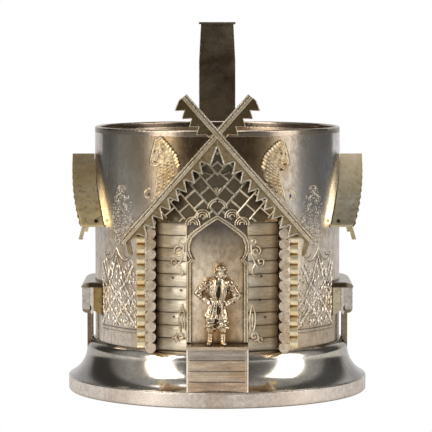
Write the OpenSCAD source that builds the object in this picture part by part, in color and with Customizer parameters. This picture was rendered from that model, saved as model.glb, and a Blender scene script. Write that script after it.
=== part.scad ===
// Tea glass holder in the form of a log house: a straight cup on a flared foot, a strap handle
// at the back, a crossed-board gable with a doorway, step and figure in front, and a hood over a
// window on each side.
// The origin is the middle of the base. +Z is up, the doorway faces -Y and the handle is at +Y.

/* [Cup] */
// Outer diameter of the cup wall
cup_d = 74; // [70:0.5:80]
// Thickness of the cup wall
cup_wall_t = 1.2; // [0.8:0.1:2]
// Height of the rim above the table
rim_z = 79.6; // [78.5:0.1:86]
// Height of the rounded rim band
rim_band_h = 1.8; // [1.4:0.1:3]
// Thickness of the floor that the glass stands on
floor_t = 1.2; // [0.8:0.1:2]

/* [Foot] */
// Projection of the foot's edge past the cup wall
foot_flare = 8.1; // [7:0.1:10]
// Height of the upright band of the foot
band_h = 4.5; // [3:0.1:6]
// Thickness of the upright band of the foot
band_t = 2.4; // [2.2:0.1:4]
// Height of the floor's seat above the table
seat_z = 12.8; // [11:0.1:14]
// Height of the neck, where the flare begins
neck_z = 13; // [12:0.1:14]
// Width of the rounded ledge outside the cup wall
ledge_w = 2.5; // [2:0.1:3.5]
// Thickness of the foot's sheet
skirt_t = 1.2; // [0.8:0.1:1.8]
// Width of the flange that carries the floor
flange_w = 3; // [2:0.1:6]

/* [Handle] */
// Width of the handle strap
strap_w = 11.8; // [8:0.2:14]
// Thickness of the handle strap
strap_t = 1.9; // [1.2:0.1:3]
// Distance of the strap's outer face from the cup wall
handle_reach = 22; // [18:0.5:28]
// Height of the top of the handle
handle_top = 110.9; // [95:0.5:120]
// Height of the middle of the lower arm
lower_arm_z = 27; // [24:0.5:34]
// Height of the middle of the upper arm
upper_arm_z = 69; // [60:0.5:74]
// Inner radius of the bend between the lower arm and the upright
bend_r = 4; // [1:0.5:6]
// Thickness of the thumb plate
thumb_t = 0.7; // [0.5:0.1:1.5]
// Depth of the thumb plate
thumb_depth = 9; // [5:0.5:14]
// Width of the strap where it meets the thumb plate
strap_neck_w = 10.6; // [7:0.2:11]
// Length of the taper below the thumb plate
strap_taper = 12; // [4:0.5:20]
// Width of the pads that carry the arms
pad_w = 15; // [12:0.5:20]
// Height of the pads that carry the arms
pad_h = 9; // [6:0.5:12]
// Thickness of the pads that carry the arms
pad_t = 0.8; // [0.5:0.1:1.5]

/* [Gable] */
// Projection of the gable's front past the cup wall
gable_reach = 5; // [4:0.1:8]
// Height of the crossing of the boards
ridge_z = 78.8; // [74:0.2:84]
// Slope of the roof in degrees
gable_pitch = 48.6; // [45:0.2:52]
// Half width of the roof at the eaves
eave_x = 27; // [26:0.2:30]
// Length of the crossed board ends above the crossing
horn_len = 14.4; // [8:0.2:18]
// Thickness of the roof boards
board_t = 1.65; // [1.2:0.05:2.2]
// Width of the groove in the boards' front edge
board_groove_w = 0.35; // [0.1:0.05:0.6]
// Depth of the groove in the boards' front edge
board_groove_d = 0.45; // [0.1:0.05:1]
// Width of the fillet above the groove
board_fillet_w = 0.35; // [0.1:0.05:0.6]

/* [Serrated trim] */
// Thickness of the trim plates
trim_t = 0.8; // [0.5:0.1:1.2]
// Distance of the trim behind the boards' front edge
trim_setback = 0.45; // [0.05:0.05:0.6]
// Width of the raised rim along the teeth
trim_rim_w = 0.35; // [0.1:0.05:0.5]
// Height of the raised rim along the teeth
trim_rim_h = 0.2; // [0.05:0.05:0.3]
// Distance from one tooth to the next under the eaves
tooth_pitch = 3.45; // [3:0.05:3.8]
// Number of teeth under each eave
tooth_count = 9; // [3:1:9]
// Distance of the first tooth tip from the crossing
first_tooth = 8; // [7:0.05:9]
// Width of the trim down to the notches
trim_band = 0.75; // [0.5:0.05:1.4]
// Depth of the teeth
tooth_h = 3; // [1.5:0.05:3.4]
// Height of the notch in the middle of the trim
apex_notch_h = 5.4; // [3:0.1:5.6]
// Drop of the pendant under each eave's end
pendant_drop = 4; // [2:0.1:6]
// Width of the pendant under each eave's end
pendant_w = 1.5; // [1:0.1:2.5]
// Inward lean of the pendant under each eave's end
pendant_lean = 1.2; // [0:0.1:2]
// Distance of the pendant from the eave's end
pendant_inset = 0.5; // [0.3:0.1:1.4]
// Distance from one tooth to the next on the crossed ends
horn_tooth_pitch = 3.1; // [2.8:0.05:3.2]
// Number of teeth on each crossed end
horn_tooth_count = 4; // [2:1:4]
// Distance of the first tooth tip on the crossed ends
horn_first_tooth = 3.75; // [3.6:0.05:4.2]
// Width of the trim on the crossed ends down to the notches
horn_trim_band = 1.6; // [1.2:0.05:2.4]
// Depth of the teeth on the crossed ends
horn_tooth_h = 2.15; // [1:0.05:2.4]

/* [Log corners] */
// Distance of the corner logs from the middle of the front
corner_x = 19.3; // [18.6:0.1:20]
// Diameter of the logs
log_d = 3.1; // [3.05:0.05:3.3]
// Height of one course of logs
log_pitch = 3; // [2.8:0.05:3]
// Number of courses that are laid before the roof cuts them
log_courses = 14; // [10:1:14]
// Length of the log stubs outside the corner
stub_len = 2.3; // [1.5:0.1:3]

/* [Front wall] */
// Number of log courses on the curved front wall
wall_courses = 10; // [6:1:14]
// Height where the log courses end and the gable panel begins
panel_z = 53; // [50:0.5:56]
// Half width of the curved front wall
front_half_w = 17.6; // [16.5:0.1:17.6]
// Thickness of the front wall in the grooves
course_base_t = 0.2; // [0.1:0.05:0.4]
// Relief of the log courses
course_relief = 0.7; // [0.3:0.05:1]
// Thickness of the gable panel
panel_t = 0.55; // [0.3:0.05:0.8]
// Relief of the lattice bars on the gable panel
lattice_relief = 0.35; // [0.1:0.05:0.6]
// Width of the lattice bars
lattice_bar_w = 0.45; // [0.3:0.05:0.8]
// Distance between lattice bars
lattice_pitch = 3.9; // [3:0.1:5]

/* [Doorway] */
// Half width of the doorway to the middle of its frame
door_half_w = 8.28; // [7:0.02:9]
// Height of the doorway's sill
sill_z = 18.2; // [18:0.1:22]
// Height where the keel arch springs from the jambs
spring_z = 40.4; // [36:0.2:44]
// Height of the keel arch
arch_h = 14.3; // [10:0.1:15]
// Width of the door frame
frame_w = 1.2; // [0.8:0.05:1.6]
// Relief of the door frame
frame_t = 0.95; // [0.6:0.05:1.3]
// Width of the groove along the door frame
frame_groove_w = 0.4; // [0.2:0.05:0.6]
// Depth of the groove along the door frame
frame_groove_d = 0.35; // [0.1:0.05:0.5]

/* [Step] */
// Distance of the step's front from the foot's edge
step_setback = 1.1; // [0.5:0.1:2]
// Half width of the step
step_half_w = 8.9; // [7:0.1:10]
// Height of the top of the step
step_z = 17.8; // [16.8:0.1:18]
// Thickness of the step's boards
step_board_t = 0.8; // [0.5:0.05:1.2]
// Overhang of the tread in front of the riser
tread_nose = 0.3; // [0:0.05:0.6]
// Number of planks in the riser
riser_planks = 4; // [2:1:6]
// Width and depth of the gaps between the riser's planks
plank_gap = 0.3; // [0.1:0.05:0.4]

/* [Figure] */
// Height of the figure
figure_h = 23.8; // [18:0.2:26]
// Distance of the figure's middle from the cup wall
figure_reach = 3.6; // [3:0.1:4.5]

/* [Side hoods] */
// Projection of the hoods' straight outer edge past the cup wall
side_reach = 6.8; // [6:0.1:8]
// Projection of the hoods' curved outer edge past the cup wall
side_round_reach = 8.4; // [8:0.1:10]
// Height of the hoods' crown
side_top_z = 71.2; // [69:0.2:74]
// Height of the hoods' eaves
side_low_z = 50.5; // [48:0.1:52]
// Half width of the hoods' top
side_shoulder_y = 12.2; // [11:0.1:13]
// Half width of the hoods at the eaves
side_half_l = 21.2; // [20:0.1:22]
// Radius of the hoods' bulging sides
side_bulge_r = 75; // [50:1:120]
// Radius of the hoods' crown
side_crown_r = 60; // [40:1:120]
// Thickness of the hoods' planks
side_board_t = 0.8; // [0.6:0.05:1.2]
// Distance of the seam between the hoods' planks from the cup wall
seam_reach = 2.6; // [1.5:0.1:3.5]
// Width of the seam between the planks
seam_w = 0.25; // [0.1:0.05:0.5]
// Rise of the inner plank's end from the seam to the wall
inner_end_rise = 2.6; // [0:0.1:4]
// Height of the lip along the eaves
side_lip_h = 0.9; // [0.5:0.1:1.5]
// Projection of the lip along the eaves
side_lip_w = 0.35; // [0.1:0.05:0.6]
// Diameter of the peg hole near the eaves
peg_hole_d = 1.2; // [0.6:0.1:1.6]
// Distance of the peg hole from the cup wall
peg_hole_reach = 4.5; // [4:0.1:5.5]
// Height of the peg hole above the eaves
peg_hole_up = 1.8; // [1.7:0.1:3]
// Distance from one tooth to the next on the side trim
side_tooth_pitch = 2.25; // [2:0.05:2.4]
// Number of teeth down each side of a hood
side_tooth_count = 7; // [3:1:7]
// Number of teeth on each half of a hood's top
top_tooth_count = 4; // [2:1:4]
// Width of the side trim down to the notches
side_trim_band = 0.3; // [0.2:0.05:0.6]
// Depth of the side trim's teeth
side_tooth_h = 1.1; // [0.6:0.05:1.6]
// Drop of the pendants under the hoods' eaves
side_pendant_drop = 3.9; // [2:0.1:5]
// Width of the pendants under the hoods' eaves
side_pendant_w = 1.1; // [0.8:0.1:1.3]

/* [Side windows] */
// Projection of the casing past the cup wall
casing_reach = 3.4; // [3.2:0.1:6]
// Thickness of the casing
casing_t = 2.4; // [2:0.1:2.8]
// Half length of the casing
casing_half_l = 14; // [11:0.1:14.5]
// Height of the casing's lower edge
casing_low_z = 24.2; // [22:0.1:26]
// Height of the casing's upper edge
casing_top_z = 31.8; // [30:0.1:32.6]
// Radius of the casing's lower outer edge
casing_round_r = 1.4; // [0.4:0.1:1.8]
// Width of the casing's border around the panes
casing_border = 1.5; // [1:0.1:2]
// Depth of the panes in the casing
pane_depth = 0.5; // [0.2:0.1:1]
// Number of panes along the casing
pane_count = 3; // [1:1:4]
// Height where the window's cap meets the wall
cap_wall_z = 33.4; // [33:0.1:36]
// Overhang of the window's cap past the casing
cap_overhang = 0.3; // [0:0.05:0.8]
// Thickness of the cheeks between casing and wall
cheek_t = 0.8; // [0.6:0.1:1.5]
// Distance of the cheeks from the casing's ends
cheek_inset = 0.3; // [0.1:0.1:1.5]
// Height of the cheeks' lower edge at the casing
cheek_out_z = 25.4; // [24.5:0.1:27]
// Height of the cheeks' lower edge at the wall
cheek_wall_z = 23.4; // [21:0.1:25]
// Distance of the window posts from the middle of the window
post_y = 4.5; // [3:0.1:8]
// Distance of the posts' middle from the casing's inner face
post_set = 0.6; // [0.4:0.05:0.8]
// Width of the window posts across the cup's radius
post_t = 1.4; // [1:0.1:1.6]
// Width of the window posts along the wall
post_w = 1.4; // [1:0.1:3]

/* [Hidden] */
$fn = 96;

// Solder film between a curved wall and what is seated on it
seat_gap = 0.05;
// How far a cutting shape runs past the face that it cuts
overrun = 1;

// Colours of the plain silver, the gilt parts and the tarnished strap
silver = [0.71, 0.69, 0.66];
gilt = [0.76, 0.70, 0.52];
tarnish = [0.30, 0.27, 0.24];

// Places worked out from the sizes above
cup_r = cup_d / 2;
bore_r = cup_r - cup_wall_t;
seat_r = cup_r + seat_gap;
floor_z = seat_z + floor_t;
foot_r = cup_r + foot_flare;
neck_r = cup_r + ledge_w;
ledge_z = neck_z + ledge_w;
band_lip = 0.3;
band_chamfer = 0.3;
flare_end_r = foot_r - band_lip;
flare_dx = flare_end_r - neck_r;
flare_dz = neck_z - band_h;
flare_r = (flare_dx * flare_dx + flare_dz * flare_dz) / (2 * flare_dx);
flare_centre_r = neck_r + flare_r;

// A length that reaches past the whole holder
far = 2 * foot_r;

// Ring with the section of its children, which are drawn with x as radius and y as height
module turned() {
    rotate_extrude() children();
}

// Outline drawn in x and z, extruded from a front plane back by a depth
module from_front(front, depth) {
    translate([0, depth - front, 0]) rotate([90, 0, 0]) linear_extrude(depth) children();
}

// Outline drawn in y and z, extruded along x between two places
module along_x(x0, x1) {
    translate([x0, 0, 0]) rotate([90, 0, 90]) linear_extrude(x1 - x0) children();
}

// Upright cylinder as high as the whole holder
module full_cylinder(r) {
    translate([0, 0, -overrun]) cylinder(r = r, h = handle_top + 2 * overrun);
}

// Part of a front outline that lies on the cup's wall, between two radii
module on_wall(r_in, r_out) {
    difference() {
        intersection() {
            from_front(r_out + overrun, r_out) children();
            full_cylinder(r_out);
        }
        full_cylinder(r_in);
    }
}

// Mirror image for the left side
module left_hand() {
    mirror([1, 0, 0]) children();
}

// Cup wall, a straight tube
module cup_wall() color(silver) turned()
    translate([bore_r, floor_z]) square([cup_wall_t, rim_z - rim_band_h - floor_z]);

// Rim band, rounded over at the top
module rim_band() color(silver) turned() {
    translate([bore_r, rim_z - rim_band_h]) square([cup_wall_t, rim_band_h - cup_wall_t / 2]);
    translate([bore_r + cup_wall_t / 2, rim_z - cup_wall_t / 2]) circle(d = cup_wall_t);
}

// Floor disc, which lies on the foot's flange and carries the wall
module cup_floor() color(silver) translate([0, 0, seat_z]) cylinder(r = cup_r, h = floor_t);

// Outer section of the foot: rounded ledge, then a hollow flare, moved out by grow
module skirt_section(grow) {
    translate([cup_r, neck_z]) circle(r = ledge_w + grow);
    difference() {
        translate([0, band_h]) square([flare_end_r + grow, neck_z - band_h]);
        translate([flare_centre_r, neck_z]) circle(r = flare_r - grow);
    }
}

// Hollow under the foot's flange, which follows the flare at the sheet's thickness
module skirt_hollow() {
    difference() {
        translate([0, band_h - overrun]) square([foot_r, seat_z - skirt_t - band_h + overrun]);
        translate([flare_centre_r, neck_z]) circle(r = flare_r + skirt_t);
    }
}

// Foot skirt, a spun flare with an inner flange
module foot_skirt() color(silver) turned() difference() {
    skirt_section(0);
    skirt_hollow();
    translate([0, seat_z]) square([seat_r, ledge_w + floor_t + overrun]);
    square([cup_r - flange_w, ledge_z]);
}

// Foot band, the upright ring that the holder stands on
module foot_band() color(silver) turned() polygon([
    [foot_r - band_t, 0],
    [foot_r - band_chamfer, 0],
    [foot_r, band_chamfer],
    [foot_r, band_h - band_chamfer],
    [foot_r - band_chamfer, band_h],
    [foot_r - band_t, band_h]
]);

// Solid space of the foot, for what is seated on it
module foot_space() {
    turned() intersection() {
        skirt_section(seat_gap);
        square([foot_r + overrun, ledge_z + overrun]);
    }
    cylinder(r = foot_r + seat_gap, h = band_h + seat_gap);
}

// Handle places
post_out = cup_r + handle_reach;
post_in = post_out - strap_t;
arm_low = lower_arm_z - strap_t / 2;
arm_high = lower_arm_z + strap_t / 2;
post_top = handle_top - thumb_t;
pad_r = seat_r + pad_t;

// Side outline of the bent strap in y and z
module strap_outline() {
    translate([cup_r, arm_low]) square([post_in - bend_r - cup_r, strap_t]);
    translate([post_in, arm_high + bend_r]) square([strap_t, post_top - arm_high - bend_r]);
    intersection() {
        difference() {
            translate([post_in - bend_r, arm_high + bend_r]) circle(r = bend_r + strap_t);
            translate([post_in - bend_r, arm_high + bend_r]) circle(r = bend_r);
        }
        translate([post_in - bend_r, arm_low]) square([bend_r + strap_t, bend_r + strap_t]);
    }
}

// Front outline of the strap, with the taper under the thumb plate
module strap_front() polygon([
    [-strap_w / 2, arm_low],
    [strap_w / 2, arm_low],
    [strap_w / 2, post_top - strap_taper],
    [strap_neck_w / 2, post_top],
    [-strap_neck_w / 2, post_top],
    [-strap_w / 2, post_top - strap_taper]
]);

// Handle strap: lower arm, bend and upright in one piece
module handle_strap() color(tarnish) difference() {
    intersection() {
        along_x(-strap_w / 2, strap_w / 2) strap_outline();
        mirror([0, 1, 0]) from_front(post_out, handle_reach + strap_t) strap_front();
    }
    full_cylinder(pad_r + seat_gap);
}

// Upper arm between the wall and the upright
module handle_upper_arm() color(tarnish) difference() {
    translate([-strap_w / 2, cup_r, upper_arm_z - strap_t / 2])
        cube([strap_w, post_in - cup_r, strap_t]);
    full_cylinder(pad_r + seat_gap);
}

// Thumb plate on top of the upright
module thumb_plate() color(tarnish) translate([-strap_w / 2, post_out - thumb_depth, post_top])
    cube([strap_w, thumb_depth, thumb_t]);

// Pads on the wall under the two arms
module handle_pads() color(tarnish) {
    for (z = [lower_arm_z, upper_arm_z])
        mirror([0, 1, 0]) on_wall(seat_r, pad_r)
            translate([-pad_w / 2, z - pad_h / 2]) square([pad_w, pad_h]);
}

// Point at a distance along the right roof slope, and below its middle line
pitch_c = cos(gable_pitch);
pitch_s = sin(gable_pitch);
function slope_point(along, below) =
    [along * pitch_c - below * pitch_s, ridge_z - along * pitch_s - below * pitch_c];

// Gable places
gable_y = cup_r + gable_reach;
eave_len = eave_x / pitch_c;
half_board = board_t / 2;
trim_front = gable_y - trim_setback;
logs_front = trim_front - trim_t - seat_gap;

// Roof slope outlines in x and z, from the horn's end to the eave
module slope_strip(from, to, above, below) polygon([
    slope_point(from, -above),
    slope_point(to, -above),
    slope_point(to, below),
    slope_point(from, below)
]);

// Everything under the right roof board's underside
module under_slope() slope_strip(-far, far, -half_board - seat_gap, far);

// Everything over the right roof board's underside
module over_slope() slope_strip(-far, far, far, half_board);

// A roof board's body with the groove along its front edge
module roof_board(from, to) difference() {
    from_front(gable_y, gable_y) slope_strip(from, to, half_board, half_board);
    from_front(gable_y + overrun, overrun + board_groove_d)
        slope_strip(from - overrun, to + overrun, half_board - board_fillet_w,
            board_fillet_w + board_groove_w - half_board);
    full_cylinder(seat_r);
}

// Right roof slab, which runs through the crossing and ends in the left horn
module roof_slab_right() color(gilt) roof_board(-horn_len, eave_len);

// Left roof slab, which butts against the right slab's underside
module roof_slab_left() color(gilt) difference() {
    left_hand() roof_board(-half_board, eave_len);
    from_front(gable_y + overrun, gable_y + 2 * overrun) over_slope();
}

// Horn, the left board's crossed end beyond the right slab
module gable_horn() color(gilt) difference() {
    left_hand() roof_board(-horn_len, half_board);
    from_front(gable_y + overrun, gable_y + 2 * overrun)
        slope_strip(-far, far, half_board, far);
}

// Serrated plate under the right eave, with half of the middle notch and the pendant.
// The teeth lean down the slope, and a raised rim follows them.
notch_v = half_board + trim_band;
tip_v = notch_v + tooth_h;
first_tip = slope_point(first_tooth, tip_v);
under_ridge_z = ridge_z - half_board / pitch_c;
notch_share = 0.36;
trim_end = (eave_x - pendant_inset) / pitch_c;
trim_teeth = concat(
    [[0, first_tip[1] + apex_notch_h]],
    [for (k = [0 : tooth_count - 1]) each [
        slope_point(first_tooth + k * tooth_pitch, tip_v),
        slope_point(first_tooth + (k + notch_share) * tooth_pitch, notch_v)
    ]]
);

// Pendant: its foot narrows to a blunt point from this share of its drop
blunt_share = 0.8;
pendant_x = eave_x - pendant_inset - pendant_w;
function under_board_z(x) = ridge_z - x * tan(gable_pitch) - half_board / pitch_c;
pendant_z = under_board_z(pendant_x + pendant_w);

module trim_outline() {
    polygon(concat(
        [[0, under_ridge_z]],
        trim_teeth,
        [slope_point(trim_end, notch_v), slope_point(trim_end, half_board)]
    ));
    polygon([
        [pendant_x, under_board_z(pendant_x)],
        [pendant_x - pendant_lean * blunt_share, pendant_z - pendant_drop * blunt_share],
        [pendant_x - pendant_lean + pendant_w / 2, pendant_z - pendant_drop],
        [pendant_x - pendant_lean * blunt_share + pendant_w, pendant_z - pendant_drop * blunt_share],
        [pendant_x + pendant_w, pendant_z]
    ]);
}

// Bars along the edges between the points of a row
module edge_bars(points, w) {
    for (i = [0 : len(points) - 2]) {
        along = (points[i + 1] - points[i]) / norm(points[i + 1] - points[i]);
        across = [-along[1], along[0]] * w;
        polygon([
            points[i] + across, points[i + 1] + across, points[i + 1] - across, points[i] - across
        ]);
    }
}

module gable_trim_right() color(gilt) {
    from_front(trim_front - trim_rim_h, trim_t - trim_rim_h) trim_outline();
    from_front(trim_front, trim_t) intersection() {
        trim_outline();
        edge_bars(trim_teeth, trim_rim_w);
    }
}
module gable_trim_left() color(gilt) left_hand() gable_trim_right();

// Serrated plate on the left horn, whose last tooth is a larger hook
horn_notch_v = half_board + horn_trim_band;
horn_tip_v = horn_notch_v + horn_tooth_h;
horn_hook_share = 0.42;
horn_notch_share = 0.56;
horn_foot = -half_board - seat_gap;
horn_teeth = [
    for (k = [0 : horn_tooth_count - 1]) each [
        slope_point(-horn_first_tooth - (k - horn_notch_share) * horn_tooth_pitch, horn_notch_v),
        slope_point(-horn_first_tooth - k * horn_tooth_pitch, horn_tip_v)
    ]
];
module horn_trim_outline() polygon(concat(
    [slope_point(horn_foot, half_board), slope_point(horn_foot, horn_notch_v)],
    horn_teeth,
    [slope_point(-horn_len, horn_tip_v * horn_hook_share), slope_point(-horn_len, half_board)]
));

module horn_trim_left() color(gilt) difference() {
    from_front(trim_front, trim_t) horn_trim_outline();
    from_front(gable_y + overrun, gable_y) left_hand()
        slope_strip(-horn_len, eave_len, half_board, half_board);
}
module horn_trim_right() color(gilt) left_hand() horn_trim_left();

// Corner logs, whose round ends face the front
log_base_z = ledge_z + seat_gap;
function course_z(k) = log_base_z + log_d / 2 + k * log_pitch;

module corner_logs() difference() {
    for (k = [0 : log_courses - 1])
        translate([corner_x, 0, course_z(k)]) rotate([90, 0, 0])
            cylinder(d = log_d, h = logs_front);
    full_cylinder(seat_r);
    from_front(gable_y + overrun, gable_y + 2 * overrun) over_slope();
}
module corner_logs_right() color(silver) corner_logs();
module corner_logs_left() color(silver) left_hand() corner_logs();

// Stubs of the front logs, which lie along the wall half a course higher
stub_x = corner_x + log_d / 2 + seat_gap;
module corner_stubs() difference() {
    for (k = [0 : log_courses - 2])
        translate([stub_x, log_d / 2 - logs_front, course_z(k + 0.5)]) rotate([0, 90, 0])
            cylinder(d = log_d, h = stub_len);
    from_front(gable_y + overrun, gable_y + 2 * overrun) over_slope();
}
module corner_stubs_right() color(gilt) corner_stubs();
module corner_stubs_left() color(gilt) left_hand() corner_stubs();

// Keel arch of the doorway as shares of its half width and of its height
keel_shares = [
    [1, 0], [1, 0.06], [0.87, 0.13], [0.96, 0.19], [1.04, 0.31], [1.04, 0.44],
    [0.95, 0.59], [0.75, 0.70], [0.34, 0.875], [0, 1]
];

// Doorway outline, moved out by grow
module keel_outline(grow) {
    half = [for (s = keel_shares) [s[0] * (door_half_w + grow), spring_z + s[1] * (arch_h + grow)]];
    foot = [door_half_w + grow, sill_z];
    right = concat([foot], half);
    polygon(concat(right, [for (i = [len(right) - 2 : -1 : 0]) [-right[i][0], right[i][1]]]));
}

// Space of the door frame in the front wall
module door_space() from_front(gable_y, gable_y) {
    keel_outline(frame_w / 2 + seat_gap);
    translate([-door_half_w - frame_w / 2 - seat_gap, 0])
        square([2 * door_half_w + frame_w + 2 * seat_gap, sill_z + overrun]);
}

// Door frame, a band with a groove along it
frame_r = seat_r + frame_t;
module door_frame() color(silver) difference() {
    on_wall(seat_r, frame_r) difference() {
        keel_outline(frame_w / 2);
        keel_outline(-frame_w / 2);
        translate([frame_w / 2 - door_half_w, sill_z - overrun])
            square([2 * door_half_w - frame_w, 2 * overrun]);
    }
    on_wall(frame_r - frame_groove_d, frame_r + overrun) difference() {
        keel_outline(frame_groove_w / 2);
        keel_outline(-frame_groove_w / 2);
    }
}

// Curved front wall of shallow log courses, right of the doorway
wall_low_z = ledge_z + seat_gap;
course_h = (panel_z - seat_gap - wall_low_z) / wall_courses;
course_r = (course_relief * course_relief + course_h * course_h / 4) / (2 * course_relief);
course_out = seat_r + course_base_t + course_relief;
front_start = asin((door_half_w + frame_w / 2) / course_out);
front_end = asin(front_half_w / course_out);

module course_section() intersection() {
    translate([seat_r, wall_low_z]) square([course_base_t + course_relief, wall_courses * course_h]);
    union() {
        translate([seat_r, wall_low_z]) square([course_base_t, wall_courses * course_h]);
        for (k = [0 : wall_courses - 1])
            translate([course_out - course_r, wall_low_z + (k + 0.5) * course_h]) circle(r = course_r);
    }
}

module log_wall() difference() {
    rotate([0, 0, front_start - 90]) rotate_extrude(angle = front_end - front_start) course_section();
    door_space();
}
module log_wall_right() color(gilt) log_wall();
module log_wall_left() color(gilt) left_hand() log_wall();

// Gable panel over the doorway, with a lattice of bars
panel_r = seat_r + panel_t;
long_bars = 4;
cross_bars = 7;
half_bar = lattice_bar_w / 2;
module panel_outline() {
    intersection() {
        translate([-front_half_w, panel_z]) square([2 * front_half_w, ridge_z - panel_z]);
        under_slope();
        left_hand() under_slope();
    }
}

// Left half of the lattice: long bars along the right slope, short ones staggered between them
module lattice_half() intersection() {
    translate([-front_half_w, 0]) square([front_half_w, ridge_z]);
    union() {
        for (i = [1 : long_bars])
            slope_strip(0, eave_len, half_bar - i * lattice_pitch, half_bar + i * lattice_pitch);
        for (i = [0 : long_bars], j = [0 : cross_bars]) {
            along = (j + (i % 2) / 2) * lattice_pitch;
            slope_strip(along, along + lattice_bar_w, -i * lattice_pitch, (i + 1) * lattice_pitch);
        }
    }
}

module gable_panel() color(gilt) difference() {
    union() {
        on_wall(seat_r, panel_r) panel_outline();
        on_wall(seat_r, panel_r + lattice_relief) intersection() {
            panel_outline();
            union() {
                lattice_half();
                left_hand() lattice_half();
            }
        }
    }
    door_space();
}

// Step in front of the doorway
step_y = foot_r - step_setback;
tread_low = step_z - step_board_t;
cheek_x = step_half_w - step_board_t;
riser_h = tread_low - band_h;
plank_h = riser_h / riser_planks;

module step_tread() color(silver) difference() {
    translate([-step_half_w, -step_y - tread_nose, tread_low])
        cube([2 * step_half_w, step_y + tread_nose, step_board_t]);
    full_cylinder(seat_r);
}

module step_riser() color(silver) difference() {
    translate([-cheek_x, -step_y, band_h]) cube([2 * cheek_x, step_board_t, riser_h]);
    for (k = [1 : riser_planks - 1])
        translate([-cheek_x - overrun, -step_y - overrun, band_h + k * plank_h - plank_gap / 2])
            cube([2 * cheek_x + 2 * overrun, overrun + plank_gap, plank_gap]);
    foot_space();
}

module step_cheek() difference() {
    translate([cheek_x, -step_y, band_h]) cube([step_board_t, step_y, riser_h]);
    foot_space();
    full_cylinder(seat_r);
}
module step_cheek_right() color(silver) step_cheek();
module step_cheek_left() color(silver) left_hand() step_cheek();

// Figure of a peasant with hands on hips: places and radii as shares of the figure's height
figure_fn = 14;
limb_shares = [
    // Legs in wide trousers and boots
    [[-0.105, 0, 0.30], 0.062, [-0.118, 0.005, 0.20], 0.068],
    [[-0.118, 0.005, 0.20], 0.060, [-0.115, 0.01, 0.045], 0.036],
    [[0.075, 0, 0.30], 0.062, [0.065, -0.01, 0.20], 0.066],
    [[0.065, -0.01, 0.20], 0.060, [0.080, 0.01, 0.045], 0.036],
    // Upper arms and forearms
    [[-0.115, 0.01, 0.765], 0.046, [-0.250, 0.015, 0.640], 0.042],
    [[-0.250, 0.015, 0.640], 0.042, [-0.130, -0.03, 0.545], 0.032],
    [[0.150, 0.01, 0.765], 0.046, [0.255, 0.015, 0.610], 0.042],
    [[0.255, 0.015, 0.610], 0.042, [0.125, -0.03, 0.530], 0.032],
    // Neck
    [[0.018, 0, 0.79], 0.030, [0.020, 0, 0.85], 0.030]
];
boot_shares = [-0.122, 0.092];

module limb(a, ra, b, rb) hull() {
    translate(a * figure_h) sphere(r = ra * figure_h, $fn = figure_fn);
    translate(b * figure_h) sphere(r = rb * figure_h, $fn = figure_fn);
}

// Flattened ball with its centre and half sizes as shares of the height
module mass(centre, half) translate(centre * figure_h) scale(half * figure_h)
    sphere(r = 1, $fn = 2 * figure_fn);

module figure_body() {
    for (s = limb_shares) limb(s[0], s[1], s[2], s[3]);
    // Boots, with the soles flat
    for (x = boot_shares) intersection() {
        hull() {
            mass([x, -0.045, 0.018], [0.034, 0.040, 0.030]);
            mass([x, 0.012, 0.030], [0.036, 0.034, 0.045]);
        }
        translate([-figure_h, -figure_h, 0]) cube(2 * figure_h);
    }
    // Chest, waist and the flared skirt of the shirt
    hull() {
        mass([0.018, 0, 0.735], [0.135, 0.070, 0.060]);
        mass([0.005, 0, 0.545], [0.100, 0.064, 0.040]);
    }
    hull() {
        mass([0.005, 0, 0.530], [0.102, 0.066, 0.030]);
        mass([-0.015, 0, 0.345], [0.138, 0.085, 0.028]);
    }
    // Head and cap with its brim
    mass([0.020, -0.005, 0.895], [0.062, 0.068, 0.080]);
    hull() {
        mass([0.020, 0.004, 0.930], [0.076, 0.080, 0.026]);
        mass([0.016, 0.010, 0.968], [0.058, 0.062, 0.032]);
    }
}

module peasant_figure() color(silver) translate([0, -cup_r - figure_reach, step_z]) figure_body();

// Side hood, drawn in y and z: a flat crown and two bulging sides, each an arc whose centre is
// found from the shoulder and the eave
side_edge_x = cup_r + side_reach;
side_roof_r = cup_r + side_round_reach;
seam_r = cup_r + seam_reach;
shoulder_z = side_top_z - side_crown_r + sqrt(side_crown_r ^ 2 - side_shoulder_y ^ 2);
side_chord = [side_half_l - side_shoulder_y, side_low_z - shoulder_z];
chord_len = norm(side_chord);
bulge_depth = sqrt(side_bulge_r ^ 2 - chord_len ^ 2 / 4) / chord_len;
bulge_y = side_half_l - side_chord[0] / 2 + side_chord[1] * bulge_depth;
bulge_z = side_low_z - side_chord[1] / 2 - side_chord[0] * bulge_depth;
crown_centre_z = side_top_z - side_crown_r;

hood_fn = 360;
module hood_outline(inset) intersection() {
    translate([0, crown_centre_z]) circle(r = side_crown_r - inset, $fn = hood_fn);
    translate([bulge_y, bulge_z]) circle(r = side_bulge_r - inset, $fn = hood_fn);
    translate([-bulge_y, bulge_z]) circle(r = side_bulge_r - inset, $fn = hood_fn);
}

// Back half of the space above the eaves
module back_half() translate([0, side_low_z]) square([foot_r, side_top_z]);

module hood_sheet() {
    intersection() {
        difference() {
            hood_outline(0);
            hood_outline(side_board_t);
        }
        back_half();
    }
    translate([side_half_l - side_board_t / 2, side_low_z])
        square([side_board_t / 2 + side_lip_w, side_lip_h]);
}

// What lies within the hood's outer edge, moved in by a distance
module hood_reach(inset) intersection() {
    full_cylinder(side_roof_r - inset);
    translate([0, -foot_r, 0]) cube([side_edge_x - inset, far, handle_top]);
}

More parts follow.
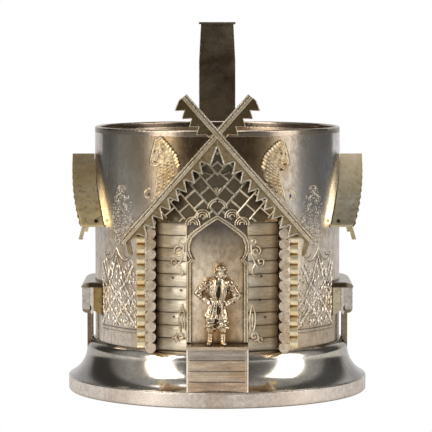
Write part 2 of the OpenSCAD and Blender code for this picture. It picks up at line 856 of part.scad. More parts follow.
// Wedge that cuts the inner plank's end up towards the wall
seam_eave_x = sqrt(seam_r ^ 2 - side_half_l ^ 2);
wall_eave_x = sqrt(seat_r ^ 2 - side_half_l ^ 2);
module inner_end_cut() {
    translate([0, side_half_l + 2 * overrun, 0]) rotate([90, 0, 0]) linear_extrude(side_half_l) polygon([
        [0, side_low_z - overrun],
        [seam_eave_x, side_low_z - overrun],
        [seam_eave_x, side_low_z],
        [wall_eave_x, side_low_z + inner_end_rise],
        [0, side_low_z + inner_end_rise]
    ]);
}

// Back half of the right hood, as an outer and an inner plank with a peg hole
peg_hole_x = sqrt((cup_r + peg_hole_reach) ^ 2 - side_half_l ^ 2);
module side_planks() difference() {
    intersection() {
        along_x(0, side_roof_r) hood_sheet();
        hood_reach(0);
    }
    full_cylinder(seat_r);
    difference() {
        full_cylinder(seam_r + seam_w / 2);
        full_cylinder(seam_r - seam_w / 2);
    }
    inner_end_cut();
    translate([peg_hole_x, side_half_l + overrun, side_low_z + peg_hole_up]) rotate([90, 0, 0])
        cylinder(d = peg_hole_d, h = side_half_l);
}

module side_roof_back_right() color(gilt) side_planks();
module side_roof_back_left() color(gilt) left_hand() side_planks();
module side_roof_front_right() color(gilt) mirror([0, 1, 0]) side_planks();
module side_roof_front_left() color(gilt) left_hand() mirror([0, 1, 0]) side_planks();

// Points at an angle along a hood's side and along its crown, moved in by a distance
function bulge_point(a, inset) =
    [bulge_y + (side_bulge_r - inset) * cos(a), bulge_z + (side_bulge_r - inset) * sin(a)];
function crown_point(a, inset) =
    [(side_crown_r - inset) * sin(a), crown_centre_z + (side_crown_r - inset) * cos(a)];

// Serrated trim inside the hood's outer edge, with a pendant under each eave
radian = 180 / PI;
side_notch = side_board_t + side_trim_band;
side_tip = side_notch + side_tooth_h;
eave_a = asin((side_low_z - bulge_z) / side_bulge_r);
side_step = side_tooth_pitch / side_bulge_r * radian;
top_step = side_tooth_pitch / side_crown_r * radian;
side_trim_foot = bulge_point(eave_a, side_board_t + seat_gap)[0];

module tooth_space() polygon(concat(
    [[-overrun, side_low_z - overrun], [bulge_point(eave_a, side_tip)[0], side_low_z - overrun]],
    [for (k = [0 : side_tooth_count - 1]) each [
        bulge_point(eave_a + k * side_step, side_tip),
        bulge_point(eave_a + (k + 0.5) * side_step, side_notch)
    ]],
    [crown_point(top_tooth_count * top_step, side_notch)],
    [for (k = [top_tooth_count - 1 : -1 : 0]) each [
        crown_point((k + 0.5) * top_step, side_tip),
        crown_point(k * top_step, side_notch)
    ]],
    [[-overrun, side_top_z - side_tip]]
));

module side_trim_outline() {
    difference() {
        intersection() {
            hood_outline(side_board_t + seat_gap);
            back_half();
        }
        tooth_space();
    }
    polygon([
        [side_trim_foot, side_low_z],
        [side_trim_foot - side_trim_band, side_low_z + side_trim_band],
        [side_trim_foot - side_pendant_w, side_low_z],
        [side_trim_foot - side_pendant_w, side_low_z - side_pendant_drop * blunt_share],
        [side_trim_foot - side_pendant_w / 2, side_low_z - side_pendant_drop],
        [side_trim_foot, side_low_z - side_pendant_drop * blunt_share]
    ]);
}

module side_trim() difference() {
    intersection() {
        along_x(0, side_roof_r) {
            side_trim_outline();
            left_hand() side_trim_outline();
        }
        hood_reach(0);
    }
    hood_reach(trim_t);
}
module side_trim_right() color(gilt) side_trim();
module side_trim_left() color(gilt) left_hand() side_trim();

// Outline drawn in x and z, extruded along the wall between two places
module along_wall(from, to) {
    translate([0, to, 0]) rotate([90, 0, 0]) linear_extrude(to - from) children();
}

// Window casing: a thick board along the wall with a rounded lower edge and sunk panes
casing_x = cup_r + casing_reach;
casing_in = casing_x - casing_t;
pane_l = (2 * casing_half_l - (pane_count + 1) * casing_border) / pane_count;
pane_low = casing_low_z + casing_round_r + casing_border / 2;
module window_casing() difference() {
    along_wall(-casing_half_l, casing_half_l) union() {
        translate([casing_in, casing_low_z]) square([casing_t - casing_round_r, casing_top_z - casing_low_z]);
        translate([casing_in, casing_low_z + casing_round_r])
            square([casing_t, casing_top_z - casing_low_z - casing_round_r]);
        translate([casing_x - casing_round_r, casing_low_z + casing_round_r]) circle(r = casing_round_r);
    }
    for (k = [0 : pane_count - 1])
        translate([
            casing_x - pane_depth,
            casing_border - casing_half_l + k * (pane_l + casing_border),
            pane_low
        ]) cube([pane_depth + overrun, pane_l, casing_top_z - casing_border - pane_low]);
}
module window_casing_right() color(silver) window_casing();
module window_casing_left() color(silver) left_hand() window_casing();

// Window cap, a low rounded roof that runs from the wall over the casing
cap_low = casing_top_z + seat_gap;
cap_w = casing_x + cap_overhang - cup_r;
module window_cap() difference() {
    along_wall(-casing_half_l, casing_half_l) union() {
        intersection() {
            translate([cup_r, cap_low]) scale([1, (cap_wall_z - cap_low) / cap_w]) circle(r = cap_w);
            translate([cup_r, cap_low]) square(cap_w);
        }
        translate([0, cap_low]) square([cup_r + overrun / 2, cap_wall_z - cap_low]);
    }
    full_cylinder(seat_r);
}
module window_cap_right() color(silver) window_cap();
module window_cap_left() color(silver) left_hand() window_cap();

// Cheeks, the end boards between casing and wall, whose lower edge slants down to the wall
cheek_y = casing_half_l - cheek_inset;
cheek_wall_x = sqrt(seat_r ^ 2 - cheek_y ^ 2);
module window_cheek() difference() {
    along_wall(cheek_y - cheek_t, cheek_y) polygon([
        [0, casing_top_z],
        [casing_in, casing_top_z],
        [casing_in, cheek_out_z],
        [cheek_wall_x, cheek_wall_z],
        [0, cheek_wall_z]
    ]);
    full_cylinder(seat_r);
}
module window_cheeks() {
    window_cheek();
    mirror([0, 1, 0]) window_cheek();
}
module window_cheeks_right() color(gilt) window_cheeks();
module window_cheeks_left() color(gilt) left_hand() window_cheeks();

// Posts that stand on the foot's ledge and carry the casing
module window_posts() difference() {
    for (side = [-1, 1])
        translate([casing_in + post_set - post_t / 2, side * post_y - post_w / 2, neck_z])
            cube([post_t, post_w, casing_low_z - neck_z]);
    foot_space();
}
module window_posts_right() color(silver) window_posts();
module window_posts_left() color(silver) left_hand() window_posts();

cup_wall();
rim_band();
cup_floor();
foot_skirt();
foot_band();
handle_strap();
handle_upper_arm();
thumb_plate();
handle_pads();
log_wall_left();
log_wall_right();
gable_panel();
door_frame();
corner_logs_left();
corner_logs_right();
corner_stubs_left();
corner_stubs_right();
roof_slab_left();
roof_slab_right();
gable_horn();
gable_trim_left();
gable_trim_right();
horn_trim_left();
horn_trim_right();
step_tread();
step_riser();
step_cheek_left();
step_cheek_right();
peasant_figure();
side_roof_front_left();
side_roof_back_left();
side_roof_front_right();
side_roof_back_right();
side_trim_left();
side_trim_right();
window_cap_left();
window_cap_right();
window_casing_left();
window_casing_right();
window_cheeks_left();
window_cheeks_right();
window_posts_left();
window_posts_right();
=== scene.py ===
import math
import random

import bmesh
import bpy
from mathutils import Matrix, Vector


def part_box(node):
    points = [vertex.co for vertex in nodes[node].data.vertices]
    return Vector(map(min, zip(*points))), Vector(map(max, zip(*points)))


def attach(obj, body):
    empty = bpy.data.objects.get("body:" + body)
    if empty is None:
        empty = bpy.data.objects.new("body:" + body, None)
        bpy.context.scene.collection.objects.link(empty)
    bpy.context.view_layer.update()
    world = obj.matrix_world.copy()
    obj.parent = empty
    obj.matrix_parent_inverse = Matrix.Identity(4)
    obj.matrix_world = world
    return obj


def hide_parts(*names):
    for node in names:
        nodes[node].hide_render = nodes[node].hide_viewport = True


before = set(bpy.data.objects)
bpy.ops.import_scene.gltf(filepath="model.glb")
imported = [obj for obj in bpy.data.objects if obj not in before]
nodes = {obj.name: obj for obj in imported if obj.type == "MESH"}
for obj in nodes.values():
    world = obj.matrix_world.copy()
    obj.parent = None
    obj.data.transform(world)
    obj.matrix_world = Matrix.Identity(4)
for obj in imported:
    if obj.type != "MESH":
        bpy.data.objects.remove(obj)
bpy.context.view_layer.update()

MM = 0.001


# Camera: a long lens straight in front of the doorway, a little above the rim and
# tipped down by a few degrees.
camera_data = bpy.data.cameras.new("camera")
camera_data.sensor_width = 36
camera_data.lens = 208.4
camera_data.clip_start = 0.05
camera = bpy.data.objects.new("camera", camera_data)
camera.location = (-0.0004, -0.7568, 0.1099)
camera.rotation_euler = (math.radians(85.636), 0, 0)
bpy.context.scene.collection.objects.link(camera)
bpy.context.scene.camera = camera
bpy.context.scene.view_settings.view_transform = "Standard"


# Room: a pale floor without an edge in view, a world that is pale behind the holder and dim
# in front of it, and three soft lamps.
def stage_finish(name, grey, mirror_share):
    finish = bpy.data.materials.new(name)
    finish.use_nodes = True
    tree = finish.node_tree
    shader = tree.nodes["Principled BSDF"]
    shader.inputs["Base Color"].default_value = (grey, grey, grey, 1)
    shader.inputs["Roughness"].default_value = 0.9
    shader.inputs["Specular IOR Level"].default_value = 0.1
    glow = tree.nodes.new("ShaderNodeEmission")
    glow.inputs["Color"].default_value = (1, 1, 1, 1)
    seen = tree.nodes.new("ShaderNodeLightPath")
    mirrored = tree.nodes.new("ShaderNodeMath")
    mirrored.operation = "MULTIPLY_ADD"
    mirrored.inputs[1].default_value = mirror_share
    mirrored.use_clamp = True
    tree.links.new(seen.outputs["Is Glossy Ray"], mirrored.inputs[0])
    tree.links.new(seen.outputs["Is Camera Ray"], mirrored.inputs[2])
    mix = tree.nodes.new("ShaderNodeMixShader")
    tree.links.new(mirrored.outputs[0], mix.inputs[0])
    tree.links.new(shader.outputs[0], mix.inputs[1])
    tree.links.new(glow.outputs[0], mix.inputs[2])
    tree.links.new(mix.outputs[0], tree.nodes["Material Output"].inputs["Surface"])
    return finish


floor_half = 1.5
floor_mesh = bmesh.new()
bmesh.ops.create_grid(floor_mesh, x_segments=2, y_segments=2, size=floor_half)
floor_data = bpy.data.meshes.new("floor")
floor_mesh.to_mesh(floor_data)
floor_mesh.free()
floor = bpy.data.objects.new("floor", floor_data)
bpy.context.scene.collection.objects.link(floor)
floor_data.materials.append(stage_finish("floor_white", 0.7, 0.5))

world = bpy.data.worlds.new("room")
bpy.context.scene.world = world
world.use_nodes = True
sky = world.node_tree
sky_light = sky.nodes["Background"]
sky_light.inputs["Color"].default_value = (1, 1, 1, 1)
sky_way = sky.nodes.new("ShaderNodeTexCoord")
sky_split = sky.nodes.new("ShaderNodeSeparateXYZ")
sky.links.new(sky_way.outputs["Generated"], sky_split.inputs[0])
sky_half = sky.nodes.new("ShaderNodeMath")
sky_half.operation = "MULTIPLY_ADD"
sky_half.inputs[1].default_value = 0.5
sky_half.inputs[2].default_value = 0.5
sky.links.new(sky_split.outputs["Y"], sky_half.inputs[0])
sky_tone = sky.nodes.new("ShaderNodeValToRGB")
sky_tone.color_ramp.interpolation = "EASE"
sky_shares = ((0, 0.12), (0.3, 0.2), (0.42, 0.36), (0.6, 0.3), (0.68, 0.07), (0.84, 0.07),
              (0.92, 0.6), (1, 0.85))
while len(sky_tone.color_ramp.elements) < len(sky_shares):
    sky_tone.color_ramp.elements.new(0.5)
for stop, (stop_share, bright_share) in zip(sky_tone.color_ramp.elements, sky_shares):
    stop.position = stop_share
    stop.color = (bright_share, bright_share, bright_share, 1)
sky.links.new(sky_half.outputs[0], sky_tone.inputs["Fac"])
sky_seen = sky.nodes.new("ShaderNodeLightPath")
sky_mix = sky.nodes.new("ShaderNodeMix")
sky.links.new(sky_seen.outputs["Is Camera Ray"], sky_mix.inputs["Factor"])
sky.links.new(sky_tone.outputs["Color"], sky_mix.inputs["A"])
sky_mix.inputs["B"].default_value = 1
sky.links.new(sky_mix.outputs["Result"], sky_light.inputs["Strength"])

# For each lamp its name, place, width, height, power and tint. Lamps are placed in metres.
lamp_aim_height = 0.05
lamp_aim = Vector((0, 0, lamp_aim_height))
lamps = (("left_lamp", (-0.56, -0.46, 0.34), 0.34, 0.7, 4.7, (1, 0.95, 0.88)),
         ("right_lamp", (0.66, -0.30, 0.30), 0.36, 0.7, 3.3, (1, 0.97, 0.94)),
         ("top_lamp", (-0.05, 0.10, 0.85), 0.6, 0.4, 1.6, (1, 0.97, 0.93)))
for name, place, width, height, power, tint in lamps:
    lamp_data = bpy.data.lights.new(name, "AREA")
    lamp_data.shape = "RECTANGLE"
    lamp_data.size = width
    lamp_data.size_y = height
    lamp_data.energy = power
    lamp_data.color = tint
    lamp = bpy.data.objects.new(name, lamp_data)
    lamp.location = place
    lamp.rotation_euler = (Vector(place) - lamp_aim).to_track_quat("Z", "Y").to_euler()
    bpy.context.scene.collection.objects.link(lamp)


# Cup: a straight tube of rolled silver with a rounded rim and a flat floor. The metal is
# parcel-gilt and worn, with brown tarnish in patches. Every recess is darkened: partly
# tarnish in the hollows, partly painted shade.
bump_height = 0.06
cloud_range = (0.62, 0.80)
cloud_cover = 0.8
speck_range = (0.40, 0.70)
hollow_range = (0.25, 0.85)
bent_range = (0.985, 0.90)
rough_range = (0.3, 0.7)
rough_spread = (0.8, 1.35)
worn_edge_colour = (0.95, 0.92, 0.84)


def metal(name, light, patina, grime_and_shade, rough, patch=45, grain=(1, 1, 1), recess=1.4, edge=0.16,
          bumps=0.25, fine=900, patina_share=0.5, brighten=0.35, speckle=0.3, metallic_share=1,
          washes=()):
    finish = bpy.data.materials.new(name)
    finish.use_nodes = True
    tree = finish.node_tree
    link = tree.links.new

    def add(kind, **values):
        made = tree.nodes.new(kind)
        for key, value in values.items():
            made.inputs[key.replace("_", " ")].default_value = value
        return made

    def combine(kind, operation, *sources):
        made = tree.nodes.new(kind)
        made.operation = operation
        for socket, source in zip(made.inputs, sources):
            if isinstance(source, tuple):
                socket.default_value = source
            else:
                link(source, socket)
        return made

    def blend_colours(share, first, second, mode="MIX"):
        mix = tree.nodes.new("ShaderNodeMix")
        mix.data_type = "RGBA"
        mix.blend_type = mode
        if isinstance(share, (int, float)):
            mix.inputs["Factor"].default_value = share
        else:
            link(share, mix.inputs["Factor"])
        for socket, colour in ((mix.inputs[6], first), (mix.inputs[7], second)):
            if isinstance(colour, tuple):
                socket.default_value = (*colour, 1)
            else:
                link(colour, socket)
        return mix.outputs[2]

    def remap(value, low, high, to_low, to_high):
        ranged = add("ShaderNodeMapRange", From_Min=low, From_Max=high, To_Min=to_low, To_Max=to_high)
        link(value, ranged.inputs["Value"])
        return ranged.outputs["Result"]

    def measured(weights):
        if weights == "radius":
            flat = combine("ShaderNodeVectorMath", "MULTIPLY", place.outputs["Object"], (1, 1, 0))
            return combine("ShaderNodeVectorMath", "LENGTH", flat.outputs["Vector"]).outputs["Value"]
        split = tree.nodes.new("ShaderNodeSeparateXYZ")
        link(place.outputs["Object"], split.inputs[0])
        if weights == "across":
            return split.outputs["X"]
        size = combine("ShaderNodeMath", "ABSOLUTE", split.outputs["X"])
        joined = tree.nodes.new("ShaderNodeCombineXYZ")
        link(size.outputs[0], joined.inputs["X"])
        link(split.outputs["Y"], joined.inputs["Y"])
        link(split.outputs["Z"], joined.inputs["Z"])
        return combine("ShaderNodeVectorMath", "DOT_PRODUCT", joined.outputs[0], weights).outputs["Value"]

    def wash_mask(limits):
        whole = None
        for weights, low, high in limits:
            part = remap(measured(weights), low * MM, high * MM, 0, 1)
            if whole is None:
                whole = part
            else:
                whole = combine("ShaderNodeMath", "MULTIPLY", whole, part).outputs[0]
        return whole

    shader = tree.nodes["Principled BSDF"]
    shader.inputs["Metallic"].default_value = metallic_share
    place = tree.nodes.new("ShaderNodeTexCoord")
    stretch = add("ShaderNodeMapping", Scale=grain)
    link(place.outputs["Object"], stretch.inputs["Vector"])
    cloud = add("ShaderNodeTexNoise", Scale=patch, Detail=5, Roughness=0.62, Distortion=0.4)
    link(stretch.outputs["Vector"], cloud.inputs["Vector"])
    speck = add("ShaderNodeTexNoise", Scale=fine, Detail=3, Roughness=0.6)
    link(stretch.outputs["Vector"], speck.inputs["Vector"])
    tone = light
    for colour, limits in washes:
        tone = blend_colours(wash_mask(limits), tone, colour)
    cover = remap(cloud.outputs[0], *(limit - patina_share / 3 for limit in cloud_range), 0, cloud_cover)
    tone = blend_colours(cover, tone, blend_colours(1, tone, patina, "MULTIPLY"))
    tone = blend_colours(remap(speck.outputs[0], *speck_range, 0, speckle), tone, grime_and_shade)

    # Recesses within the reach darken towards the grime colour: tarnish in the hollows, and painted shade in
    # corners, creases and under parts.
    hollow = add("ShaderNodeAmbientOcclusion", Distance=recess * MM)
    hollow.samples = 6
    tone = blend_colours(remap(hollow.outputs["AO"], *hollow_range, 1, 0), tone, grime_and_shade)

    rounding = add("ShaderNodeBevel", Radius=edge * MM)
    rounding.samples = 4
    true_face = tree.nodes.new("ShaderNodeNewGeometry")
    match = combine("ShaderNodeVectorMath", "DOT_PRODUCT", rounding.outputs["Normal"],
                    true_face.outputs["True Normal"])
    tone = blend_colours(remap(match.outputs["Value"], *bent_range, 0, brighten), tone, worn_edge_colour)
    link(tone, shader.inputs["Base Color"])
    rough_limits = [rough * share for share in rough_spread]
    link(remap(speck.outputs[0], *rough_range, *rough_limits), shader.inputs["Roughness"])
    bump = add("ShaderNodeBump", Strength=bumps, Distance=bump_height * MM)
    link(speck.outputs[0], bump.inputs["Height"])
    link(rounding.outputs["Normal"], bump.inputs["Normal"])
    link(bump.outputs["Normal"], shader.inputs["Normal"])
    return finish


def dress(finish, *names):
    for name in names:
        data = nodes[name].data
        data.materials.clear()
        data.materials.append(finish)


def add_piece(name, mesh, finish):
    data = bpy.data.meshes.new(name)
    mesh.to_mesh(data)
    mesh.free()
    data.materials.append(finish)
    piece = bpy.data.objects.new(name, data)
    bpy.context.scene.collection.objects.link(piece)
    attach(piece, "root")
    return piece


# A wash is a colour with its limits. Each limit is a way, the place along it where the colour
# starts and the place where it is full, in mm. A way counts x from the middle to both sides,
# "across" counts it from left to right, and "radius" is the distance from the cup's middle.
up = (0, 0, 1)
down = (0, 0, -1)
outward = (1, 0, 0)
inward = (-1, 0, 0)
forward = (0, -1, 0)
backward = (0, 1, 0)
# Wall washes: colours laid by place on the wall. Several of them are painted light, as marked below.
wall_colours_and_painted_light = (
    ((0.36, 0.335, 0.29), ((up, 46, 58),)),
    # Painted dark reflection: an upright dark band on the left of the upper wall.
    ((0.20, 0.19, 0.175), (("across", -28.5, -32), (up, 50, 60))),
    # Painted dark reflection on the upper wall right of the gable.
    ((0.23, 0.225, 0.215), ((up, 48, 58), ("across", 12, 19))),
    # Painted reflection: the brown image of the gable roof on the wall round the horse heads.
    ((0.21, 0.155, 0.095), ((up, 52, 68), (inward, -27, -15))),
    ((0.10, 0.07, 0.045), ((up, 64, 72), (inward, -15, -7), (inward, -15, -10))),
    ((1.0, 0.87, 0.74), (("radius", 36.6, 36.4),)),
    ((1.0, 0.84, 0.64), ((inward, -9, -8.5), (forward, 20, 30), (down, -56, -55))),
    ((0.50, 0.33, 0.18), ((inward, -7, -3), (forward, 20, 30), (down, -36, -24))),
    # Painted shade at the top of the doorway, under the gable roof.
    ((0.17, 0.15, 0.135), ((inward, -9, -8.5), (forward, 20, 30), (up, 41, 52), (down, -58, -57))),
    # Painted reflection: a bright strip on the wall along the planks of each hood.
    ((1.0, 0.94, 0.88), (((1, 0, -0.2), 21.0, 21.8), (up, 49, 52))),
    # Painted bright reflection on the wall beside the top of each hood.
    ((1.0, 0.94, 0.92), ((outward, 33.8, 34.6), (up, 71, 73))),
)
# Painted highlight: the top of the dark rim band is painted bright.
rim_painted_highlight = (((0.66, 0.57, 0.47), ((up, 79.15, 79.35),)),)
wall_finish = metal("worn_silver_wall", (0.76, 0.67, 0.57), (0.60, 0.51, 0.39), (0.14, 0.10, 0.06),
                    0.24, patch=38, grain=(1, 1, 0.6), bumps=0.2, fine=700, patina_share=0.6,
                    speckle=0.4, washes=wall_colours_and_painted_light)
rim_finish = metal("silver_rim", (0.24, 0.20, 0.16), (0.80, 0.68, 0.55), (0.2, 0.15, 0.1), 0.2,
                   patina_share=0.3, washes=rim_painted_highlight)
dress(wall_finish, "cup_wall", "cup_floor")
dress(rim_finish, "rim_band")
for tube in ("cup_wall", "rim_band"):
    nodes[tube].data.shade_smooth()


# Foot: a spun and polished flare of silver below a rounded ledge, with a satin band at the
# bottom. It is soldered round the lower edge of the cup.
# The first two washes are painted dark reflections: a patch on the left of the flare, and its far sides.
foot_washes = (((0.46, 0.42, 0.36), (("across", -25, -30),)),
               ((0.34, 0.31, 0.30), ((outward, 36, 41),)),
               ((0.70, 0.57, 0.40), ((up, 17.6, 18.4),)))
polished = metal("polished_silver", (0.80, 0.76, 0.69), (0.52, 0.46, 0.36), (0.25, 0.2, 0.15), 0.14,
                 patch=30, bumps=0.03, patina_share=0.35, brighten=0.2, washes=foot_washes)
satin = metal("satin_silver", (0.84, 0.75, 0.67), (0.6, 0.5, 0.42), (0.22, 0.17, 0.12), 0.26,
              patch=25, bumps=0.08, patina_share=0.45)
dress(polished, "foot_skirt")
dress(satin, "foot_band")
for ring in ("foot_skirt", "foot_band"):
    nodes[ring].data.shade_smooth()


# Handle: a flat strap forged into a loop, with a thumb plate on top and two pads soldered to
# the back of the cup. It is the most tarnished part.
strap_finish = metal("tarnished_strap", (0.29, 0.235, 0.165), (0.19, 0.145, 0.10), (0.06, 0.045, 0.03),
                     0.3, patch=60, bumps=0.3, patina_share=0.5, brighten=0.6)
dress(strap_finish, "handle_strap", "handle_upper_arm", "thumb_plate", "handle_pads")


# Log house front: gilt logs and boards of cast and chased silver, laid over the front of the
# cup. The gilding is pale and is worn to silver on every raised edge.
log_recess = 0.6
stub_recess = 1.2
log_end_recess = 1.0
board_recess = 0.7
# Painted shade on the log walls: the right wall darker than the left, and a dark strip beside each corner
# post.
log_painted_shade = (((0.60, 0.54, 0.43), (("across", 6, 12),)),
              ((0.16, 0.115, 0.07), ((outward, 15.4, 17.2),)))
panel_washes = (((0.56, 0.48, 0.35), (("radius", 37.7, 37.9),)),)
trim_washes = (((1.0, 0.88, 0.66), ((forward, 41.42, 41.52),)),)
gilt = metal("pale_gilt", (0.82, 0.70, 0.46), (0.75, 0.66, 0.5), (0.14, 0.10, 0.05), 0.25,
             patch=90, bumps=0.3, patina_share=0.5, brighten=0.7)
gilt_log = metal("gilt_log", (1.0, 0.93, 0.76), (0.90, 0.82, 0.68), (0.14, 0.10, 0.065), 0.5,
                 patch=70, grain=(0.5, 0.5, 2.2), bumps=0.08, recess=log_recess, brighten=0.5,
                 metallic_share=0.35, washes=log_painted_shade)
stub_finish = metal("gilt_stub", (1.0, 0.88, 0.62), (0.95, 0.82, 0.55), (0.58, 0.38, 0.14), 0.40,
                    patch=120, bumps=0.1, recess=stub_recess, brighten=0.6)
log_end = metal("log_end_silver", (0.84, 0.70, 0.54), (0.75, 0.66, 0.54), (0.10, 0.07, 0.045), 0.25,
                patch=160, bumps=0.25, recess=log_end_recess, brighten=0.5)
# The panel's dark ground is painted shade and dark reflection under the roof boards.
panel_finish = metal("panel_gilt", (0.175, 0.14, 0.095), (0.75, 0.7, 0.6), (0.08, 0.055, 0.03), 0.30,
                     patch=90, bumps=0.3, brighten=0.9, washes=panel_washes)
trim_finish = metal("trim_gilt", (0.50, 0.385, 0.22), (0.75, 0.66, 0.52), (0.08, 0.055, 0.03), 0.27,
                    patch=90, bumps=0.3, brighten=0.9, speckle=0.5, washes=trim_washes)
horn_finish = metal("horn_gilt", (0.21, 0.155, 0.085), (0.7, 0.62, 0.5), (0.07, 0.05, 0.025), 0.24,
                    patch=140, bumps=0.35, brighten=0.9, speckle=0.5)
board_finish = metal("board_gilt", (0.90, 0.76, 0.54), (0.78, 0.68, 0.52), (0.10, 0.065, 0.035), 0.24,
                     patch=110, bumps=0.25, recess=board_recess, brighten=0.6)
dress(gilt_log, "log_wall_left", "log_wall_right")
dress(stub_finish, "corner_stubs_left", "corner_stubs_right")
dress(log_end, "corner_logs_left", "corner_logs_right")
dress(panel_finish, "gable_panel")
dress(board_finish, "door_frame", "roof_slab_left", "roof_slab_right", "gable_horn")
dress(trim_finish, "gable_trim_left", "gable_trim_right")
dress(horn_finish, "horn_trim_left", "horn_trim_right")
dress(gilt, "peasant_figure")


# Step: a box of planks in front of the doorway, on the ledge of the foot.
step_recess = 0.8
edge_recess = 0.3
# Painted shade: a darker band on the riser just under the tread.
step_washes = (((0.55, 0.47, 0.40), ((up, 13.6, 14.2), (down, -16.9, -16.6))),
               ((0.80, 0.60, 0.44), ((down, -9, -5),)))
step_finish = metal("step_silver", (0.82, 0.66, 0.49), (0.62, 0.50, 0.38), (0.10, 0.07, 0.045), 0.25,
                    patch=110, grain=(0.25, 1, 1.6), bumps=0.4, fine=700, recess=step_recess,
                    brighten=0.9, washes=step_washes)
# Bright edges: worn metal and painted highlight.
edge_wear_and_highlight = metal("worn_edge_and_highlight", (1.0, 0.93, 0.84), (0.85, 0.78, 0.7), (0.25, 0.2, 0.15), 0.42,
                    bumps=0.1, recess=edge_recess, brighten=0.2)
dress(step_finish, "step_tread", "step_riser", "step_cheek_left", "step_cheek_right")


# Side hoods: on each side a small roof of two bulging planks, bent from sheet and soldered with
# one edge to the cup. A serrated strip with a pendant at each eave lies inside its outer edge.
def closed(mesh):
    bmesh.ops.recalc_face_normals(mesh, faces=mesh.faces)
    return mesh


def add_tube(mesh, rings):
    corners = [[mesh.verts.new(point) for point in ring] for ring in rings]
    for ring, following in zip(corners, corners[1:]):
        for k in range(len(ring)):
            mesh.faces.new((ring[k - 1], ring[k], following[k], following[k - 1]))
    mesh.faces.new(corners[0])
    mesh.faces.new(corners[-1])


def in_mm(length):
    return round(length / MM, 3)


roof_low, roof_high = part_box("side_roof_front_right")
wall_r = in_mm(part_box("cup_wall")[1].x)
hood_gap = 0.2
ridge_play = 0.05
eave_drop = 0.4
hood_ridge = in_mm(roof_high.z) - ridge_play
hood_eave = in_mm(roof_low.z) - eave_drop
hood_half = 15.5
hood_bulge = 1.3
hood_sheet = 0.8
hood_rows = 24
hood_reach = in_mm(roof_high.x)
hood_taper = 3.6
hood_lip = 0.6
hood_recess = 0.1
hood_bevel = 0.02
hood_washes = (
    # Painted light on the front planks: the right hood lighter than the left, each bright low down and dark
    # towards the top.
    ((0.80, 0.73, 0.58), (("across", 0, 1),)),
    ((1.0, 0.88, 0.60), (("across", 0, -1), (up, 66, 53))),
    ((0.92, 0.82, 0.58), (("across", 0, 1), (up, 68, 54), ((1, 0, 0.2), 50, 46))),
    ((0.12, 0.10, 0.065), (("across", 0, -1), (up, 56, 69))),
    ((0.26, 0.22, 0.16), (("across", 0, 1), (up, 61, 75))),
    ((0.62, 0.57, 0.50), ((backward, 0, 1),)),
)
hood_outer = metal("hood_gilt", (0.43, 0.325, 0.165), (0.75, 0.66, 0.48), (0.09, 0.06, 0.03), 0.30,
                   patch=60, recess=hood_recess, edge=hood_bevel, bumps=0.03, brighten=0.2, speckle=0,
                   patina_share=0.7, washes=hood_washes)


def hood_at(share, inset):
    chord = Vector((hood_half, hood_ridge - hood_eave)).normalized()
    out = hood_half * (1 - share) + 4 * hood_bulge * share * (1 - share) - inset * chord.y
    return (max(out, 0), hood_eave + (hood_ridge - hood_eave) * share - inset * chord.x * share)


def hood_edge(share):
    return hood_reach - hood_taper * (1 - share) ** 2


def on_side(side, facing, along, y, z):
    return Vector((side * along * MM, facing * y * MM, z * MM))


def wall_meets(y):
    return math.sqrt((wall_r + hood_gap) ** 2 - y ** 2)


def hood_ring(side, facing, share):
    outer = hood_at(share, 0)
    inner = hood_at(share, hood_sheet)
    touch = wall_meets(outer[0])
    return [on_side(side, facing, along, *spot)
            for along, spot in ((touch, outer), (hood_edge(share), outer), (hood_edge(share), inner),
                                (touch, inner))]


lip_out = hood_half + hood_lip
lip_in = hood_half - hood_lip
lip_top = hood_eave + hood_lip
for side, side_name in ((-1, "left"), (1, "right")):
    for facing, face_name in ((-1, "front"), (1, "back")):
        mesh = bmesh.new()
        add_tube(mesh, [hood_ring(side, facing, k / hood_rows) for k in range(hood_rows + 1)])
        add_tube(mesh, [[on_side(side, facing, along, y, z)
                         for y, z in ((lip_in, hood_eave), (lip_out, hood_eave), (lip_out, lip_top),
                                      (lip_in, lip_top))]
                        for along in (wall_meets(lip_out), hood_edge(0))])
        plank = add_piece(f"hood_{face_name}_{side_name}", closed(mesh), hood_outer)
        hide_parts(f"side_roof_{face_name}_{side_name}")
        dress(hood_outer, f"side_roof_{face_name}_{side_name}")

strip_t = 0.6
strip_band = 0.35
strip_flare = 0.45
strip_hold_share = 0.9
tooth_depth = 1.1
tooth_flare = 0.4
tooth_count = 11
pendant_drop = 3.9
pendant_w = 1.1
pendant_lean = 1.1
pendant_root = 0.4
pendant_point = 0.5
pendant_far = hood_half - hood_sheet
pendant_near = pendant_far - pendant_w
pendant_low = hood_eave - pendant_drop
pendant = ((0, pendant_far, hood_eave + pendant_root), (0, pendant_near, hood_eave + pendant_root),
           (pendant_lean, pendant_near, pendant_low + pendant_point),
           (pendant_lean, (pendant_near + pendant_far) / 2, pendant_low),
           (pendant_lean, pendant_far, pendant_low + pendant_point))


def strip_ring(side, facing, k):
    share = k / (2 * tooth_count)
    outer = hood_at(share, hood_sheet * strip_hold_share)
    inner = hood_at(share, hood_sheet + strip_band + tooth_depth * (k % 2))
    front = hood_edge(share) + (strip_flare + tooth_flare * (k % 2)) * (1 - share)
    back = hood_edge(share) - strip_t
    return [on_side(side, facing, along, *spot)
            for along, spot in ((front, outer), (front, inner), (back, inner), (back, outer))]


for side, side_name in ((-1, "left"), (1, "right")):
    mesh = bmesh.new()
    for facing in (-1, 1):
        add_tube(mesh, [strip_ring(side, facing, k) for k in range(2 * tooth_count + 1)])
        add_tube(mesh, [[on_side(side, facing, along + lean, y, z) for lean, y, z in pendant]
                        for along in (hood_edge(0), hood_edge(0) - 2 * strip_t)])
    strip = add_piece(f"hood_strip_{side_name}", closed(mesh), gilt)
    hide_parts(f"side_trim_{side_name}")
    dress(gilt, f"side_trim_{side_name}")


